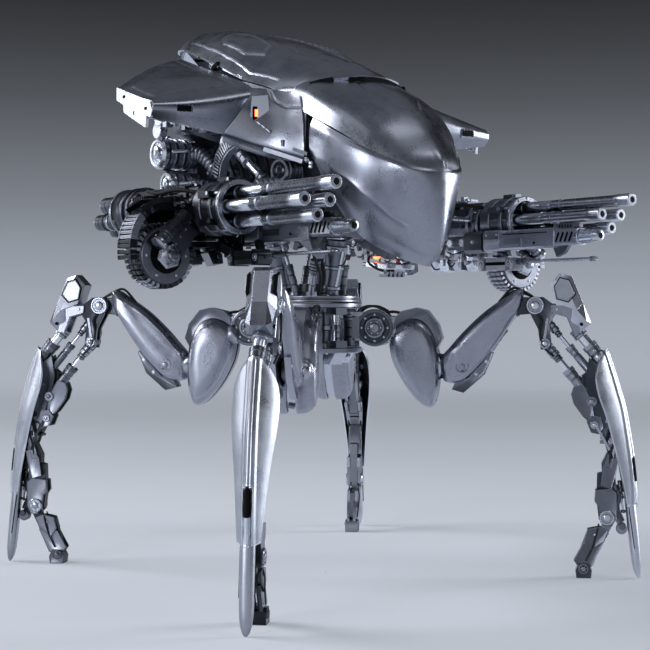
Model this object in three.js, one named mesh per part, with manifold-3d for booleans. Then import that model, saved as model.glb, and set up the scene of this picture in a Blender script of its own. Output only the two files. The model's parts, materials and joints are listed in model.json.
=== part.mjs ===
// Four-legged spider walker with a slewing turret, two rotary guns and armoured legs.
// Millimetres, +Z up, the robot faces -Y, its right-hand side is -X.
// Every leg is built in its own frame: +X runs outward from the hub, +Y across the leg, +Z up.
import * as THREE from "three";
import { mergeVertices } from "three/addons/utils/BufferGeometryUtils.js";
import { ConvexGeometry } from "three/addons/geometries/ConvexGeometry.js";
import Module from "manifold-3d";

const wasm = await Module();
wasm.setup();

// ---------- driving dimensions ----------
const HUB_Y = 24.8; // the slew axis stands this far behind the middle of the footprint
const LEG_AZIMUTHS = { front_right: -135, front_left: -45, rear_left: 45, rear_right: 135 };
const GAP = 0.4; // clearance between two pieces that touch
const RUN = 0.6; // clearance of a piece that slides or turns

// hinge points of a leg: distance from the slew axis, height
const HIP_YAW = [46, 291.5];
const HIP_PITCH = [76, 291.5];
const THIGH = [180, 246];
const KNEE = [264.7, 318];
const ANKLE = [347.2, 71.3];
const TOE = [320.3, 11];
const KNUCKLE_R = 27; // round root of the thigh

// the three telescoping rods of the knee all run along this direction
const SLIDE = new THREE.Vector2(0.64, -0.768).normalize();
const THICK_ROD = { from: [276, 273.6], r: 3.6, barrel: 6.6, start: 40, end: 92 };
const THIN_ROD = { from: [276.5, 302.5], r: 2.4, barrel: 4.6, start: 42, end: 86 };
const NECK = { from: [312, 289], r: 5.4, barrel: 7.4, start: 22, end: 46 };

// turret
const RING_Z = 321.5;
const RING_R = 55;
const DECK_Z = 396; // underside of the chassis
const GUN = { x: 203, z: 420, ring: 15, barrelR: 6.6, clampR: 28, rear: 150 };
const TRUNNION = { y: -6, z: 420, r: 11 };
const DRUM = { x: 255, y: -75, z: 370, r: 35, width: 30 };
const CANNON = { x: 170, z: 395, r: 8.5 };
const SIGHT = { x: 179, z: 369, front: -166, tip: -294 };
const LAMP = [-20, -150, 370];

// ---------- solids ----------
const solidOf = (geometry) => {
  const bare = geometry.clone();
  bare.deleteAttribute("normal");
  bare.deleteAttribute("uv");
  const merged = mergeVertices(bare, 1e-4);
  return new wasm.Manifold(
    new wasm.Mesh({
      numProp: 3,
      vertProperties: merged.attributes.position.array,
      triVerts: new Uint32Array(merged.index.array),
    }),
  );
};

const geometryOf = (solid) => {
  const mesh = solid.getMesh();
  const geometry = new THREE.BufferGeometry();
  geometry.setAttribute("position", new THREE.BufferAttribute(mesh.vertProperties, 3));
  geometry.setIndex(new THREE.BufferAttribute(mesh.triVerts, 1));
  const flat = geometry.toNonIndexed();
  flat.computeVertexNormals();
  return flat;
};

const join = (...pieces) => geometryOf(pieces.map(solidOf).reduce((all, piece) => all.add(piece)));
const cut = (body, ...tools) =>
  geometryOf(tools.map(solidOf).reduce((left, tool) => left.subtract(tool), solidOf(body)));

// ---------- shapes ----------
const block = (w, d, h, x, y, z) => new THREE.BoxGeometry(w, d, h).translate(x, y, z);

const hull = (points) => new ConvexGeometry(points.map((p) => new THREE.Vector3(...p)));

// A round bar, or a cone, from p to q.
function bar(p, q, r, r2 = r, sides = 12) {
  const from = new THREE.Vector3(...p);
  const along = new THREE.Vector3(...q).sub(from);
  const geometry = new THREE.CylinderGeometry(r2, r, along.length(), sides);
  const up = new THREE.Vector3(0, 1, 0);
  geometry.applyQuaternion(new THREE.Quaternion().setFromUnitVectors(up, along.clone().normalize()));
  return geometry.translate(...from.addScaledVector(along, 0.5));
}

// A flat plate: its outline is in the leg's plane, distance and height, and it spans low..high across it.
function plate(outline, low, high) {
  const shape = new THREE.Shape(outline.map((p) => new THREE.Vector2(...p)));
  const geometry = new THREE.ExtrudeGeometry(shape, { depth: high - low, bevelEnabled: false });
  return geometry.rotateX(Math.PI / 2).translate(0, high, 0);
}

// A disc, or a short pin, across the leg.
const pin = ([x, z], low, high, r, sides = 14) => bar([x, low, z], [x, high, z], r, r, sides);

// A closed solid from rings that all have the same number of points.
function loft(rings) {
  const n = rings[0].length;
  const middle = (ring) =>
    ring.reduce((sum, p) => sum.add(p), new THREE.Vector3()).divideScalar(n);
  const points = [...rings.flat(), middle(rings[0]), middle(rings.at(-1))];
  const index = [];
  for (let i = 0; i + 1 < rings.length; i++) {
    for (let k = 0; k < n; k++) {
      const a = i * n + k;
      const b = i * n + ((k + 1) % n);
      index.push(a, b, a + n, b, b + n, a + n);
    }
  }
  const first = points.length - 2;
  const last = first + 1;
  const end = (rings.length - 1) * n;
  for (let k = 0; k < n; k++) {
    index.push(first, (k + 1) % n, k, last, end + k, end + ((k + 1) % n));
  }
  return outward(points, index);
}

// Turns the faces outward if the rings were given the other way round.
function outward(points, index) {
  let volume = 0;
  for (let i = 0; i < index.length; i += 3) {
    const [a, b, c] = [0, 1, 2].map((k) => points[index[i + k]]);
    volume += a.dot(new THREE.Vector3().crossVectors(b, c));
  }
  if (volume < 0) index.reverse();
  const geometry = new THREE.BufferGeometry().setFromPoints(points).setIndex(index);
  return geometry.toNonIndexed();
}

const curve = (points, closed = false) => new THREE.CatmullRomCurve3(points, closed, "catmullrom", 0.5);

// A thick curved sheet through a net of control points, thickened away from its outer side.
function sheet(net, rows, columns, thickness) {
  const across = net.map((row) => curve(row));
  const outer = [];
  for (let i = 0; i <= rows; i++) {
    for (let k = 0; k <= columns; k++) {
      outer.push(curve(across.map((c) => c.getPoint(k / columns))).getPoint(i / rows));
    }
  }
  const at = (i, k) => i * (columns + 1) + k;
  const inner = outer.map((p, n) => {
    const i = Math.floor(n / (columns + 1));
    const k = n % (columns + 1);
    const down = outer[at(Math.min(i + 1, rows), k)].clone().sub(outer[at(Math.max(i - 1, 0), k)]);
    const side = outer[at(i, Math.min(k + 1, columns))].clone().sub(outer[at(i, Math.max(k - 1, 0))]);
    return p.clone().addScaledVector(down.cross(side).normalize(), -thickness);
  });
  const under = outer.length;
  const index = [];
  const quad = (a, b, c, d) => index.push(a, b, c, a, c, d);
  for (let i = 0; i < rows; i++) {
    for (let k = 0; k < columns; k++) {
      quad(at(i, k), at(i + 1, k), at(i + 1, k + 1), at(i, k + 1));
      quad(under + at(i, k), under + at(i, k + 1), under + at(i + 1, k + 1), under + at(i + 1, k));
    }
  }
  for (let k = 0; k < columns; k++) {
    quad(at(0, k), at(0, k + 1), under + at(0, k + 1), under + at(0, k));
    quad(at(rows, k + 1), at(rows, k), under + at(rows, k), under + at(rows, k + 1));
  }
  for (let i = 0; i < rows; i++) {
    quad(at(i + 1, 0), at(i, 0), under + at(i, 0), under + at(i + 1, 0));
    quad(at(i, columns), at(i + 1, columns), under + at(i + 1, columns), under + at(i, columns));
  }
  return outward([...outer, ...inner], index);
}

// A bulging shell half: the outline shrinks towards its middle as it rises from low to high across the leg.
function pillow(outline, low, high, points = 16) {
  const rim = curve(outline.map(([x, z]) => new THREE.Vector3(x, 0, z)), true).getPoints(points);
  rim.pop();
  const middle = rim.reduce((sum, p) => sum.add(p), new THREE.Vector3()).divideScalar(points);
  const levels = [[0, 1], [0.45, 0.96], [0.82, 0.76], [1, 0.36]];
  return loft(
    levels.map(([rise, share]) =>
      rim.map((p) => {
        const q = middle.clone().lerp(p, share);
        q.y = low + (high - low) * rise;
        return q;
      }),
    ),
  );
}

const mirrored = (geometry) => {
  const flipped = geometry.clone().scale(-1, 1, 1);
  const p = flipped.attributes.position;
  for (let i = 0; i < p.count; i += 3) {
    for (const get of ["X", "Y", "Z"]) {
      const b = p["get" + get](i + 1);
      p["set" + get](i + 1, p["get" + get](i + 2));
      p["set" + get](i + 2, b);
    }
  }
  flipped.computeVertexNormals();
  return flipped;
};

// ---------- materials ----------
const metal = (color, roughness) => new THREE.MeshStandardMaterial({ color, roughness, metalness: 1 });
const armour = metal(0x8f96a8, 0.22);
const frameMetal = metal(0x4a4e5a, 0.4);
const gunMetal = metal(0x5c606c, 0.3);
const lampRed = new THREE.MeshStandardMaterial({ color: 0xff4a20, emissive: 0xff3010 });

const robot = new THREE.Group();
robot.position.y = HUB_Y;

function add(parent, name, geometry, material) {
  const mesh = new THREE.Mesh(geometry, material);
  mesh.name = name;
  parent.add(mesh);
  return mesh;
}

// ---------- leg ----------
const along = (rod, distance) => [
  rod.from[0] + SLIDE.x * distance,
  rod.from[1] + SLIDE.y * distance,
];
const rodBar = (rod, a, b, r) => {
  const [x0, z0] = along(rod, a);
  const [x1, z1] = along(rod, b);
  return bar([x0, 0, z0], [x1, 0, z1], r, r, 12);
};

// Turns about the vertical yaw pin and carries the two round cheeks of the hip.
function hipYoke() {
  const [yawX, z] = HIP_YAW;
  const cheek = (side) => pin(HIP_PITCH, side * 13.5, side * 18.5, 22, 18);
  return join(
    bar([yawX, 0, z - 22.5], [yawX, 0, z + 22.5], 9.5),
    block(8, 37, 26, yawX + 7, 0, z),
    cheek(-1),
    cheek(1),
  );
}

// The arm between the cheeks, with the strap that caps the pod.
function hipArm() {
  const [x, z] = HIP_PITCH;
  const strap = [
    [100, 303], [108, 311], [125, 315.5], [137, 312.5], [150, 295], [155, 280],
    [151.5, 278.5], [146, 292.5], [134, 307.5], [124, 310.5], [112, 306],
  ];
  return join(
    pin(HIP_PITCH, -12.5, 12.5, 17, 16),
    block(38, 24, 24, x + 17, 0, z + 1),
    plate(strap, -13, 13),
  );
}

// Two bulging half shells on a web, with the tongue that carries the thigh.
function hipPod() {
  const outline = [
    [93, 283], [103, 297], [120, 303.5], [137, 297], [149, 275],
    [153, 240], [150, 212], [143, 196], [128, 203], [110, 226], [96, 255],
  ];
  const web = outline.map(([x, z]) => [122 + (x - 122) * 0.8, 250 + (z - 250) * 0.8]);
  const shells = join(
    pillow(outline, 5.5, 30),
    pillow(outline, -5.5, -30),
    plate(web, -6, 6),
  );
  const [x, z] = HIP_PITCH;
  const arm = block(38 + 2 * GAP, 24 + 2 * GAP, 24 + 2 * GAP, x + 17, 0, z + 1);
  const knuckle = pin(THIGH, -40, 40, KNUCKLE_R + 1.2, 20);
  const opened = cut(shells, arm, knuckle, pin(HIP_PITCH, -31, 31, 23, 20));
  const tongue = [[140, 228], [140, 264], [THIGH[0], THIGH[1] + 9], [THIGH[0], THIGH[1] - 9]];
  return join(opened, plate(tongue, -4, 4), pin(THIGH, -4, 4, 9, 14));
}

// The leaf of the thigh: a round root, then a blade that rises to the knee.
function thighOutline() {
  const [hx, hz] = THIGH;
  const root = [225, 200, 175, 150, 125].map((deg) => {
    const t = THREE.MathUtils.degToRad(deg);
    return [hx + KNUCKLE_R * Math.cos(t), hz + KNUCKLE_R * Math.sin(t)];
  });
  return [
    ...root, [182, 288], [206, 310.5], [232, 328], [249, 336.5],
    [248, 318], [238, 300], [222, 275], [203, 250], [181, 229],
  ];
}

function thighShell() {
  const [hx, hz] = THIGH;
  const outline = thighOutline();
  const halves = join(pillow(outline, -0.5, 20, 22), pillow(outline, 0.5, -20, 22));
  const slot = block(60, 9.2, 70, hx - 10, 0, hz - 2);
  const tongue = [[232, 306], [232, 326], [KNEE[0], KNEE[1] + 9.5], [KNEE[0], KNEE[1] - 9.5]];
  const guard = hull(
    [[216, 262], [205, 236], [181, 215], [167, 219]]
      .flatMap(([x, z]) => [[x, -9, z], [x, 9, z]])
      .concat([[200, -14, 243], [200, 14, 243], [180, -14, 226], [180, 14, 226]]),
  );
  return join(cut(join(halves, guard), slot), plate(tongue, -5, 5), pin(KNEE, -5, 5, 9.5, 14));
}

// The shield over the knee with the neck that slides into the shin.
function kneeGuard() {
  const facet = (x, z, w) => [[x, -w, z], [x, w, z]];
  const upper = hull([
    ...facet(282, 343, 13), ...facet(293.6, 356, 11), ...facet(307, 352, 8),
    ...facet(320, 321, 8), ...facet(313, 312, 16), ...facet(291, 320, 16), ...facet(298, 348, 15),
  ]);
  const lower = hull([
    ...facet(320, 321, 8), ...facet(329.4, 297, 8), ...facet(315, 285, 13),
    ...facet(306, 300, 14), ...facet(308, 318, 16), ...facet(324, 300, 14),
  ]);
  return join(upper, lower, rodBar(NECK, -2, 34, NECK.r));
}

// Ears, knee discs and the two piston rods.
function kneeRods() {
  const ear = [
    [KNEE[0] - 6, KNEE[1] + 9], [KNEE[0] + 9, KNEE[1] + 10], [289, 318.5], [289, 309],
    [283, 296], [283, 268], [271, 266], [268, 290], [KNEE[0] - 8, KNEE[1] - 6],
  ];
  const cheek = (side) => plate(ear, Math.min(side * 6, side * 11), Math.max(side * 6, side * 11));
  const disc = (side) => pin(KNEE, side * 10, side * 15.5, 10, 16);
  return join(
    cheek(-1), cheek(1), disc(-1), disc(1),
    pin(THICK_ROD.from, -13, 13, 6, 12),
    pin(THIN_ROD.from, -8, 8, 3.6, 10),
    rodBar(THICK_ROD, 0, 70, THICK_ROD.r),
    rodBar(THIN_ROD, 0, 70, THIN_ROD.r),
  );
}

function shinFrame() {
  const head = [
    [327, 257], [339, 247], [350, 226], [358, 196], [352, 178], [340, 170], [331, 173],
    [318, 190], [306, 216], [310, 222], [322, 230], [320, 246],
  ];
  const spine = [[340, 196], [358, 196], [362, 150], [357, 118], [342, 118], [350, 148]];
  const ankle = [
    [342, 130], [339.5, 108], [333, 103], [333, 90], [339, 84], [338, 66], [344, 61],
    [352, 61], [358, 70], [359, 100], [356, 130],
  ];
  const sockets = [THICK_ROD, THIN_ROD, NECK];
  const solid = join(
    plate(head, -9, 9),
    plate(spine, -7, 7),
    plate(ankle, -9.5, 9.5),
    pin(ANKLE, -12.5, 12.5, 9, 14),
    ...sockets.map((rod) => rodBar(rod, rod.start, rod.end, rod.barrel)),
  );
  const bores = sockets.map((rod) => rodBar(rod, 10, rod.end - 3, rod.r + RUN));
  const clawSlot = block(42, 10, 40, 341, 0, 64);
  return cut(solid, ...bores, clawSlot);
}

// Curved shin armour: a rounded ridge in front, with flanges that sweep back.
function shinBlade() {
  const stations = [
    // ridge distance, flange distance, height of each, half width
    [347, 343, 272, 268, 6],
    [352, 338, 258, 252, 15],
    [361, 335, 231, 236, 23],
    [370, 347, 196, 192, 22.5],
    [376.5, 358, 158, 150, 17],
    [381, 365.5, 120, 118, 12],
    [382, 370, 84, 90, 9.5],
  ];
  const net = stations.map(([ridge, back, ridgeZ, backZ, w]) =>
    [-1, -0.72, -0.38, 0, 0.38, 0.72, 1].map((s) => {
      const sweep = Math.abs(s) ** 2.2;
      return new THREE.Vector3(ridge + (back - ridge) * sweep, s * w, ridgeZ + (backZ - ridgeZ) * sweep);
    }),
  );
  return sheet(net, 6, 6, 3);
}

// The ground spike under the shin armour: a flat tang, then a stout bar with a blunt point.
function spike() {
  const block = (corners) => hull(corners.flatMap(([x, z, w]) => [[x, -w, z], [x, w, z]]));
  const tang = block([[358, 116, 4], [367, 116, 4], [366, 78, 4], [375, 78, 4]]);
  const shank = block([
    [367, 81, 5], [379, 81, 5], [370, 60, 7.5], [382, 60, 7.5], [376, 16, 6.5], [386, 16, 6],
    [382, 2, 3], [386, 3, 3], [384.5, 0, 1.5],
  ]);
  return join(tang, shank);
}

function claw() {
  const link = [
    [338, 60], [327.5, 58], [327, 43], [314, 18], [322, 8], [336, 28], [344, 46], [350, 58],
  ];
  const tongue = [[340, 60], [343, 76], [352, 76], [353, 60], [347, 48]];
  const pad = [[312, 0], [329, 0], [330, 9], [326, 18], [315, 18], [311, 9]];
  return join(
    plate(link, -7, 7),
    plate(tongue, -4, 4),
    plate(pad, -9, 9),
    pin(TOE, -11, 11, 6, 12),
  );
}

function leg(name, azimuth) {
  const group = new THREE.Group();
  group.rotation.z = THREE.MathUtils.degToRad(azimuth);
  const pieces = [
    ["hip_yoke", hipYoke(), frameMetal],
    ["hip_arm", hipArm(), frameMetal],
    ["hip_pod", hipPod(), armour],
    ["thigh_shell", thighShell(), armour],
    ["knee_guard", kneeGuard(), armour],
    ["knee_rods", kneeRods(), frameMetal],
    ["shin_frame", shinFrame(), frameMetal],
    ["shin_blade", shinBlade(), armour],
    ["spike", spike(), armour],
    ["claw", claw(), frameMetal],
  ];
  for (const [piece, geometry, material] of pieces) add(group, `${piece}_${name}`, geometry, material);
  robot.add(group);
}
for (const [name, azimuth] of Object.entries(LEG_AZIMUTHS)) leg(name, azimuth);

// ---------- pelvis ----------
// Two round plates hold the four yaw pins; the lower race of the slew ring is on top.
function pelvisHub() {
  const z = HIP_YAW[1];
  const plates = [-1, 1].map((side) =>
    bar([0, 0, z + side * 23.5], [0, 0, z + side * 29.5], 58, 58, 24),
  );
  return join(
    ...plates,
    bar([0, 0, z - 27], [0, 0, z + 27], 27, 27, 16),
    bar([0, 0, z - 44], [0, 0, z - 24], 12, 30, 16),
  );
}
add(robot, "pelvis_hub", pelvisHub(), frameMetal);

// ---------- turret ----------
// The upper race of the slew ring and the tapered columns that carry the chassis.
function waistPylons() {
  const columns = [-90, 30, 150].map((deg) => {
    const t = THREE.MathUtils.degToRad(deg);
    const [c, s] = [Math.cos(t), Math.sin(t)];
    return bar([34 * c, 34 * s, RING_Z + 6], [46 * c, 46 * s, DECK_Z - GAP], 8, 13, 16);
  });
  const damper = bar([-32, -40, RING_Z + 4], [-40, -66, DECK_Z - GAP], 4.5, 4.5, 12);
  const ring = bar([0, 0, RING_Z + GAP], [0, 0, RING_Z + 8], RING_R, RING_R, 24);
  return join(ring, ...columns, damper, bar([0, 0, RING_Z + 6], [0, 0, RING_Z + 20], 16, 14, 16));
}
add(robot, "waist_pylons", waistPylons(), frameMetal);

// The frame under the shells, with the trunnion sockets of the guns.
function chassis() {
  const ridge = hull([
    [-74, -60, 500], [74, -60, 500], [-66, -70, 566], [66, -70, 566],
    [-70, 190, 560], [70, 190, 560], [-76, 150, 618], [76, 150, 618], [-60, 205, 640], [60, 205, 640],
    [-40, 60, 628], [40, 60, 628],
  ]);
  const belly = hull([
    [-52, -95, DECK_Z], [52, -95, DECK_Z], [-56, 75, DECK_Z + 6], [56, 75, DECK_Z + 6],
    [-62, -105, 470], [62, -105, 470], [-72, 110, 530], [72, 110, 530], [-72, -60, 530], [72, -60, 530],
  ]);
  const chinFrame = hull([
    [-30, -200, 380], [30, -200, 380], [-45, -90, DECK_Z + 2], [45, -90, DECK_Z + 2],
    [-40, -195, 470], [40, -195, 470], [-60, -90, 500], [60, -90, 500],
  ]);
  const cheeks = hull([
    [-112, -30, 552], [112, -30, 552], [-88, -52, 534], [88, -52, 534], [-84, -56, 478], [84, -56, 478],
    [-120, -30, 505], [120, -30, 505], [-96, 40, 520], [96, 40, 520], [-92, 40, 574], [92, 40, 574],
  ]);
  const sockets = [-1, 1].map((side) =>
    bar([side * 40, TRUNNION.y, TRUNNION.z], [side * 92, TRUNNION.y, TRUNNION.z], 22, 17, 20),
  );
  return join(ridge, belly, chinFrame, cheeks, ...sockets);
}

// Nose hood: stations from the neck to the lip, each an arch from crease to crest.
const HOOD_STATIONS = [
  // half width, crease y and z, crest y and z
  [86, -52, 537, -50, 592],
  [91, -106, 529, -104, 580],
  [84, -158, 509, -158, 559],
  [69, -196, 487, -204, 530],
  [54, -220, 475, -236, 497],
  [46, -228, 470, -247, 470],
];
const ARCH = [-90, -68, -44, -20, 0, 20, 44, 68, 90];
function arch([w, creaseY, creaseZ, crestY, crestZ], box = 0.72) {
  return ARCH.map((deg) => {
    const t = THREE.MathUtils.degToRad(deg);
    const rise = Math.max(Math.cos(t), 0) ** box;
    const x = w * Math.sign(Math.sin(t)) * Math.abs(Math.sin(t)) ** box;
    return new THREE.Vector3(x, creaseY + (crestY - creaseY) * rise, creaseZ + (crestZ - creaseZ) * rise);
  });
}
const noseHood = () => sheet(HOOD_STATIONS.map((s) => arch(s)).reverse(), 7, 10, 4);

// Nose chin: levels from the crease down to the tip, each a pointed arc in plan.
function noseChin() {
  const levels = [
    // height of the back edge, height of the keel, half width, back y, keel y
    [530, 469, 86, -80, -243],
    [505, 450, 84, -96, -240],
    [470, 420, 78, -120, -234],
    [430, 392, 66, -150, -226],
    [396, 370, 48, -176, -219],
    [372, 358, 26, -196, -214],
  ];
  const net = levels.map(([backZ, keelZ, w, backY, keelY]) =>
    [-90, -66, -42, -20, 0, 20, 42, 66, 90].map((deg) => {
      const t = THREE.MathUtils.degToRad(deg);
      const front = Math.max(Math.cos(t), 0) ** 0.85;
      const x = w * Math.sin(t);
      return new THREE.Vector3(x, backY + (keelY - backY) * front, backZ + (keelZ - backZ) * front ** 0.7);
    }),
  );
  return sheet(net.reverse(), 5, 10, 4);
}

// Dorsal plate: arches from the neck to the tail.
const DORSAL_STATIONS = [
  [104, -34, 558, -44, 601],
  [111, 0, 575, -4, 622],
  [108, 60, 597, 56, 645],
  [100, 130, 619, 130, 662],
  [82, 190, 640, 196, 671],
  [58, 216, 648, 232, 672],
];
const dorsalPlate = () => sheet(DORSAL_STATIONS.map((s) => arch(s, 0.9)).reverse(), 7, 10, 4);

// Shoulder wing: a deep wedge that stands out over the gun, hollow from below.
function wing() {
  const outer = hull([
    [-112, -38, 564], [-148, -38, 512], [-244, -38, 523], [-242, -38, 540],
    [-243, 42, 566], [-243, 42, 552], [-182, 82, 594], [-182, 82, 578],
    [-110, 128, 620], [-117, 128, 596], [-120, 20, 582], [-120, 40, 545],
  ]);
  const hollow = hull([
    [-126, -32, 552], [-150, -32, 505], [-238, -32, 515], [-236, -32, 534],
    [-237, 40, 559], [-237, 60, 540], [-182, 100, 586], [-182, 110, 560],
    [-122, 110, 606], [-126, 125, 570], [-127, 20, 572], [-130, 40, 525],
  ]);
  return cut(outer, hollow);
}

// Two crosswise engine shafts with flanges, behind one gun.
function engine(side) {
  const inner = 74;
  const shaft = (y, z, r, reach) => [
    bar([side * inner, y, z], [side * reach, y, z], r, r, 12),
    bar([side * (reach - 9), y, z], [side * (reach - 3), y, z], r + 3, r + 3, 12),
    bar([side * (reach - 42), y, z], [side * (reach - 36), y, z], r + 2, r + 2, 12),
  ];
  return join(
    ...shaft(98, 501, 16, 160),
    ...shaft(92, 466, 13.5, 150),
    block(10, 34, 60, side * (inner + 6), 95, 484),
  );
}

const shells = [
  ["nose_hood", noseHood(), armour],
  ["nose_chin", noseChin(), armour],
  ["dorsal_plate", dorsalPlate(), armour],
  ["wing_right", wing(), armour],
  ["wing_left", mirrored(wing()), armour],
];
for (const [name, geometry, material] of shells) add(robot, name, geometry, material);
for (const [name, side] of [["right", -1], ["left", 1]]) {
  add(robot, `engine_${name}`, engine(side), gunMetal);
}
const [lampX, lampY, lampZ] = LAMP;
const lamp = join(
  bar([lampX, lampY, lampZ], [lampX, lampY, lampZ + 9], 5, 5, 14),
  bar([lampX, lampY, lampZ + 8], [lampX, lampY, lampZ + 17.5], 3, 3, 10),
);
add(robot, "nose_lamp", lamp, lampRed);
add(robot, "chassis", cut(chassis(), ...shells.map(([, geometry]) => geometry)), frameMetal);

// ---------- guns ----------
const yBar = (x, z, from, to, r, sides = 12) => bar([x, from, z], [x, to, z], r, r, sides);

// The fork that holds the drum out beside the gun.
function drumFork(side) {
  const { x, y, z, width } = DRUM;
  const outline = [
    [x - 42, z + 34], [x - 30, z + 58], [x - 16, z + 50], [x + 14, z + 6],
    [x + 8, z - 12], [x - 6, z - 13], [x - 15, z - 4],
  ];
  const arm = (end) => {
    const middle = y + (end * (width + 9)) / 2;
    return hull(outline.flatMap(([px, pz]) => [-2, 2].map((dy) => [side * px, middle + dy, pz])));
  };
  return cut(join(arm(-1), arm(1)), yBar(side * x, z, y - 40, y + 40, 10 + RUN, 14));
}

// The flat sight box under the gun, with its bracket and rod.
function sight(side) {
  const { z, front, tip } = SIGHT;
  const x = side * SIGHT.x;
  return join(
    block(17, 50, 13, x, front + 25, z),
    hull([-5, 5].flatMap((dx) => [
      [x + dx, -126, z - 5], [x + dx, -126, z + 5],
      [x + side * 20 + dx, -78, z + 30], [x + side * 20 + dx, -70, z + 26],
    ])),
    yBar(x, z, tip, front + 5, 2.4, 8),
  );
}

// The receiver with its trunnion, front clamp ring and motors; it rocks about the trunnion.
function gunBody(side) {
  const x = side * GUN.x;
  const { z } = GUN;
  const receiver = hull([
    ...[[-104, 16], [-84, 27], [60, 27], [96, 20]].flatMap(([y, w]) => [
      [x - w, y, z - 6], [x + w, y, z - 6], [x - w * 0.7, y, z + 26], [x + w * 0.7, y, z + 26],
    ]),
    [x - 18, -90, z - 13], [x + 18, -90, z - 13], [x - 18, 84, z - 13], [x + 18, 84, z - 13],
  ]);
  const trunnion = [92.6, GUN.x - 20].map((reach) => [side * reach, TRUNNION.y, TRUNNION.z]);
  const motors = [[0, 12, 11], [-14, -7, 9], [14, -7, 9]].map(([dx, dz, r]) =>
    yBar(x + dx, z + dz, 90, GUN.rear, r, 14),
  );
  const solid = join(
    receiver,
    block(34, 92, 16, x, -44, z - 16),
    yBar(x, z, -156, -100, GUN.clampR, 24),
    bar(...trunnion, TRUNNION.r, TRUNNION.r, 16),
    ...motors,
    drumFork(side),
    sight(side),
  );
  const barrelRoom = yBar(x, z, -160, -108, 23.6, 20);
  return cut(solid, barrelRoom, yBar(x, z, -110, -70, 8 + RUN, 16));
}

// Four barrels in a ring on one shaft; the upper one is the longest.
function barrelCluster(side) {
  const x = side * GUN.x;
  const { z } = GUN;
  const barrels = [90, 0, 180, 270].map((deg) => {
    const t = THREE.MathUtils.degToRad(deg);
    const muzzle = deg === 90 ? -325 : -294;
    const [bx, bz] = [x + GUN.ring * Math.cos(t), z + GUN.ring * Math.sin(t)];
    const tube = yBar(bx, bz, muzzle, -112, GUN.barrelR, 10);
    const lip = yBar(bx, bz, muzzle, muzzle + 12, GUN.barrelR + 1, 10);
    return cut(join(tube, lip), yBar(bx, bz, muzzle - 1, muzzle + 16, 4.2, 8));
  });
  return join(
    yBar(x, z, -240, -74, 8, 12),
    yBar(x, z, -118, -111, 22, 20),
    yBar(x, z, -240, -235, 19, 16),
    ...barrels,
  );
}

// The single cannon slung inside the rotary gun.
function cannon(side) {
  const x = side * CANNON.x;
  const { z, r } = CANNON;
  return join(
    block(2 * r, 122, 20, x, -183, z),
    block(2 * r - 2, 36, 17, x, -262, z),
    yBar(x, z, -130, -60, r - 1, 12),
    yBar(x, z, -296, -278, r, 12),
    yBar(x, z, -309, -278, r - 2.5, 12),
    block(12, 26, 12, side * (CANNON.x + 5), -78, z + 1),
  );
}

// The ribbed drum that feeds the gun.
function ammoDrum(side) {
  const { x, y, z, r, width } = DRUM;
  const ribs = [-1, 0, 1].map((k) => yBar(side * x, z, y + k * 11 - 4, y + k * 11 + 4, r, 18));
  return join(
    yBar(side * x, z, y - width / 2, y + width / 2, r - 4, 18),
    ...ribs,
    yBar(side * x, z, y - width / 2 - 8, y + width / 2 + 8, 10, 14),
  );
}

for (const [name, side] of [["right", -1], ["left", 1]]) {
  add(robot, `gun_${name}`, gunBody(side), gunMetal);
  add(robot, `barrels_${name}`, barrelCluster(side), gunMetal);
  add(robot, `cannon_${name}`, cannon(side), gunMetal);
  add(robot, `drum_${name}`, ammoDrum(side), frameMetal);
}

export default robot;
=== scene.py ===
"""Looks of the four-legged walker: smooth armour shells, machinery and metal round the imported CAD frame.

Shapes are written in millimetres and scaled once, by a place matrix. A leg is written in its own frame:
+X runs outward from the slew axis, +Y across the leg, +Z up.
"""

import json
import math
import random

import bmesh
import bpy
import numpy as np
from mathutils import Matrix, Vector

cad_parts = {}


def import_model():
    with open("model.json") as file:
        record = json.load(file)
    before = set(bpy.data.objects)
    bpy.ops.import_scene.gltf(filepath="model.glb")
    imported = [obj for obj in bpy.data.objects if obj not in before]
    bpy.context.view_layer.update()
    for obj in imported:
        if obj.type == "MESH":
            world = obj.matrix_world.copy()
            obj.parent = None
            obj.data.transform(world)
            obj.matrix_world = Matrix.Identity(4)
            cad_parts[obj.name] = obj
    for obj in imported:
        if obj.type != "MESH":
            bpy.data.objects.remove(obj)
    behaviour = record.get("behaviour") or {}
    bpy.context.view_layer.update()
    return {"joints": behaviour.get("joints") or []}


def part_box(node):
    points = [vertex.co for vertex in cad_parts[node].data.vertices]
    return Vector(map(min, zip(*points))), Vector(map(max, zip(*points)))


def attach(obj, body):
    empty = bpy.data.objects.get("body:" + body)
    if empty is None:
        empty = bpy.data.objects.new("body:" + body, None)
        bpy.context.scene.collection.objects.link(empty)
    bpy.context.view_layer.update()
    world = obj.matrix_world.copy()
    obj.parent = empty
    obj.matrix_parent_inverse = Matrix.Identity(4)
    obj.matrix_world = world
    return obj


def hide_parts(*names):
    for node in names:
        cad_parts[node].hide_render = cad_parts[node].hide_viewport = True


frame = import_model()

MM = 0.001
HUB_Y = sum(corner[1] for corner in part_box("pelvis_hub")) / 2
BODY = Matrix.Translation((0, HUB_Y, 0)) @ Matrix.Scale(MM, 4)
LEGS = {"front_right": -135, "front_left": -45, "rear_left": 45, "rear_right": 135}
SIDES = {"right": -1, "left": 1}
dice = random.Random(12)


def leg_place(azimuth):
    turn = Matrix.Rotation(math.radians(azimuth), 4, "Z")
    return Matrix.Translation((0, HUB_Y, 0)) @ turn @ Matrix.Scale(MM, 4)


def hinge(name):
    """A leg joint as distance from the slew axis and height, in millimetres."""
    joint = next(j for j in frame["joints"] if j["name"] == name + "_front_left")
    x, y, z = joint["pos_m"]
    return math.hypot(x, y - HUB_Y) / MM, z / MM


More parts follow.
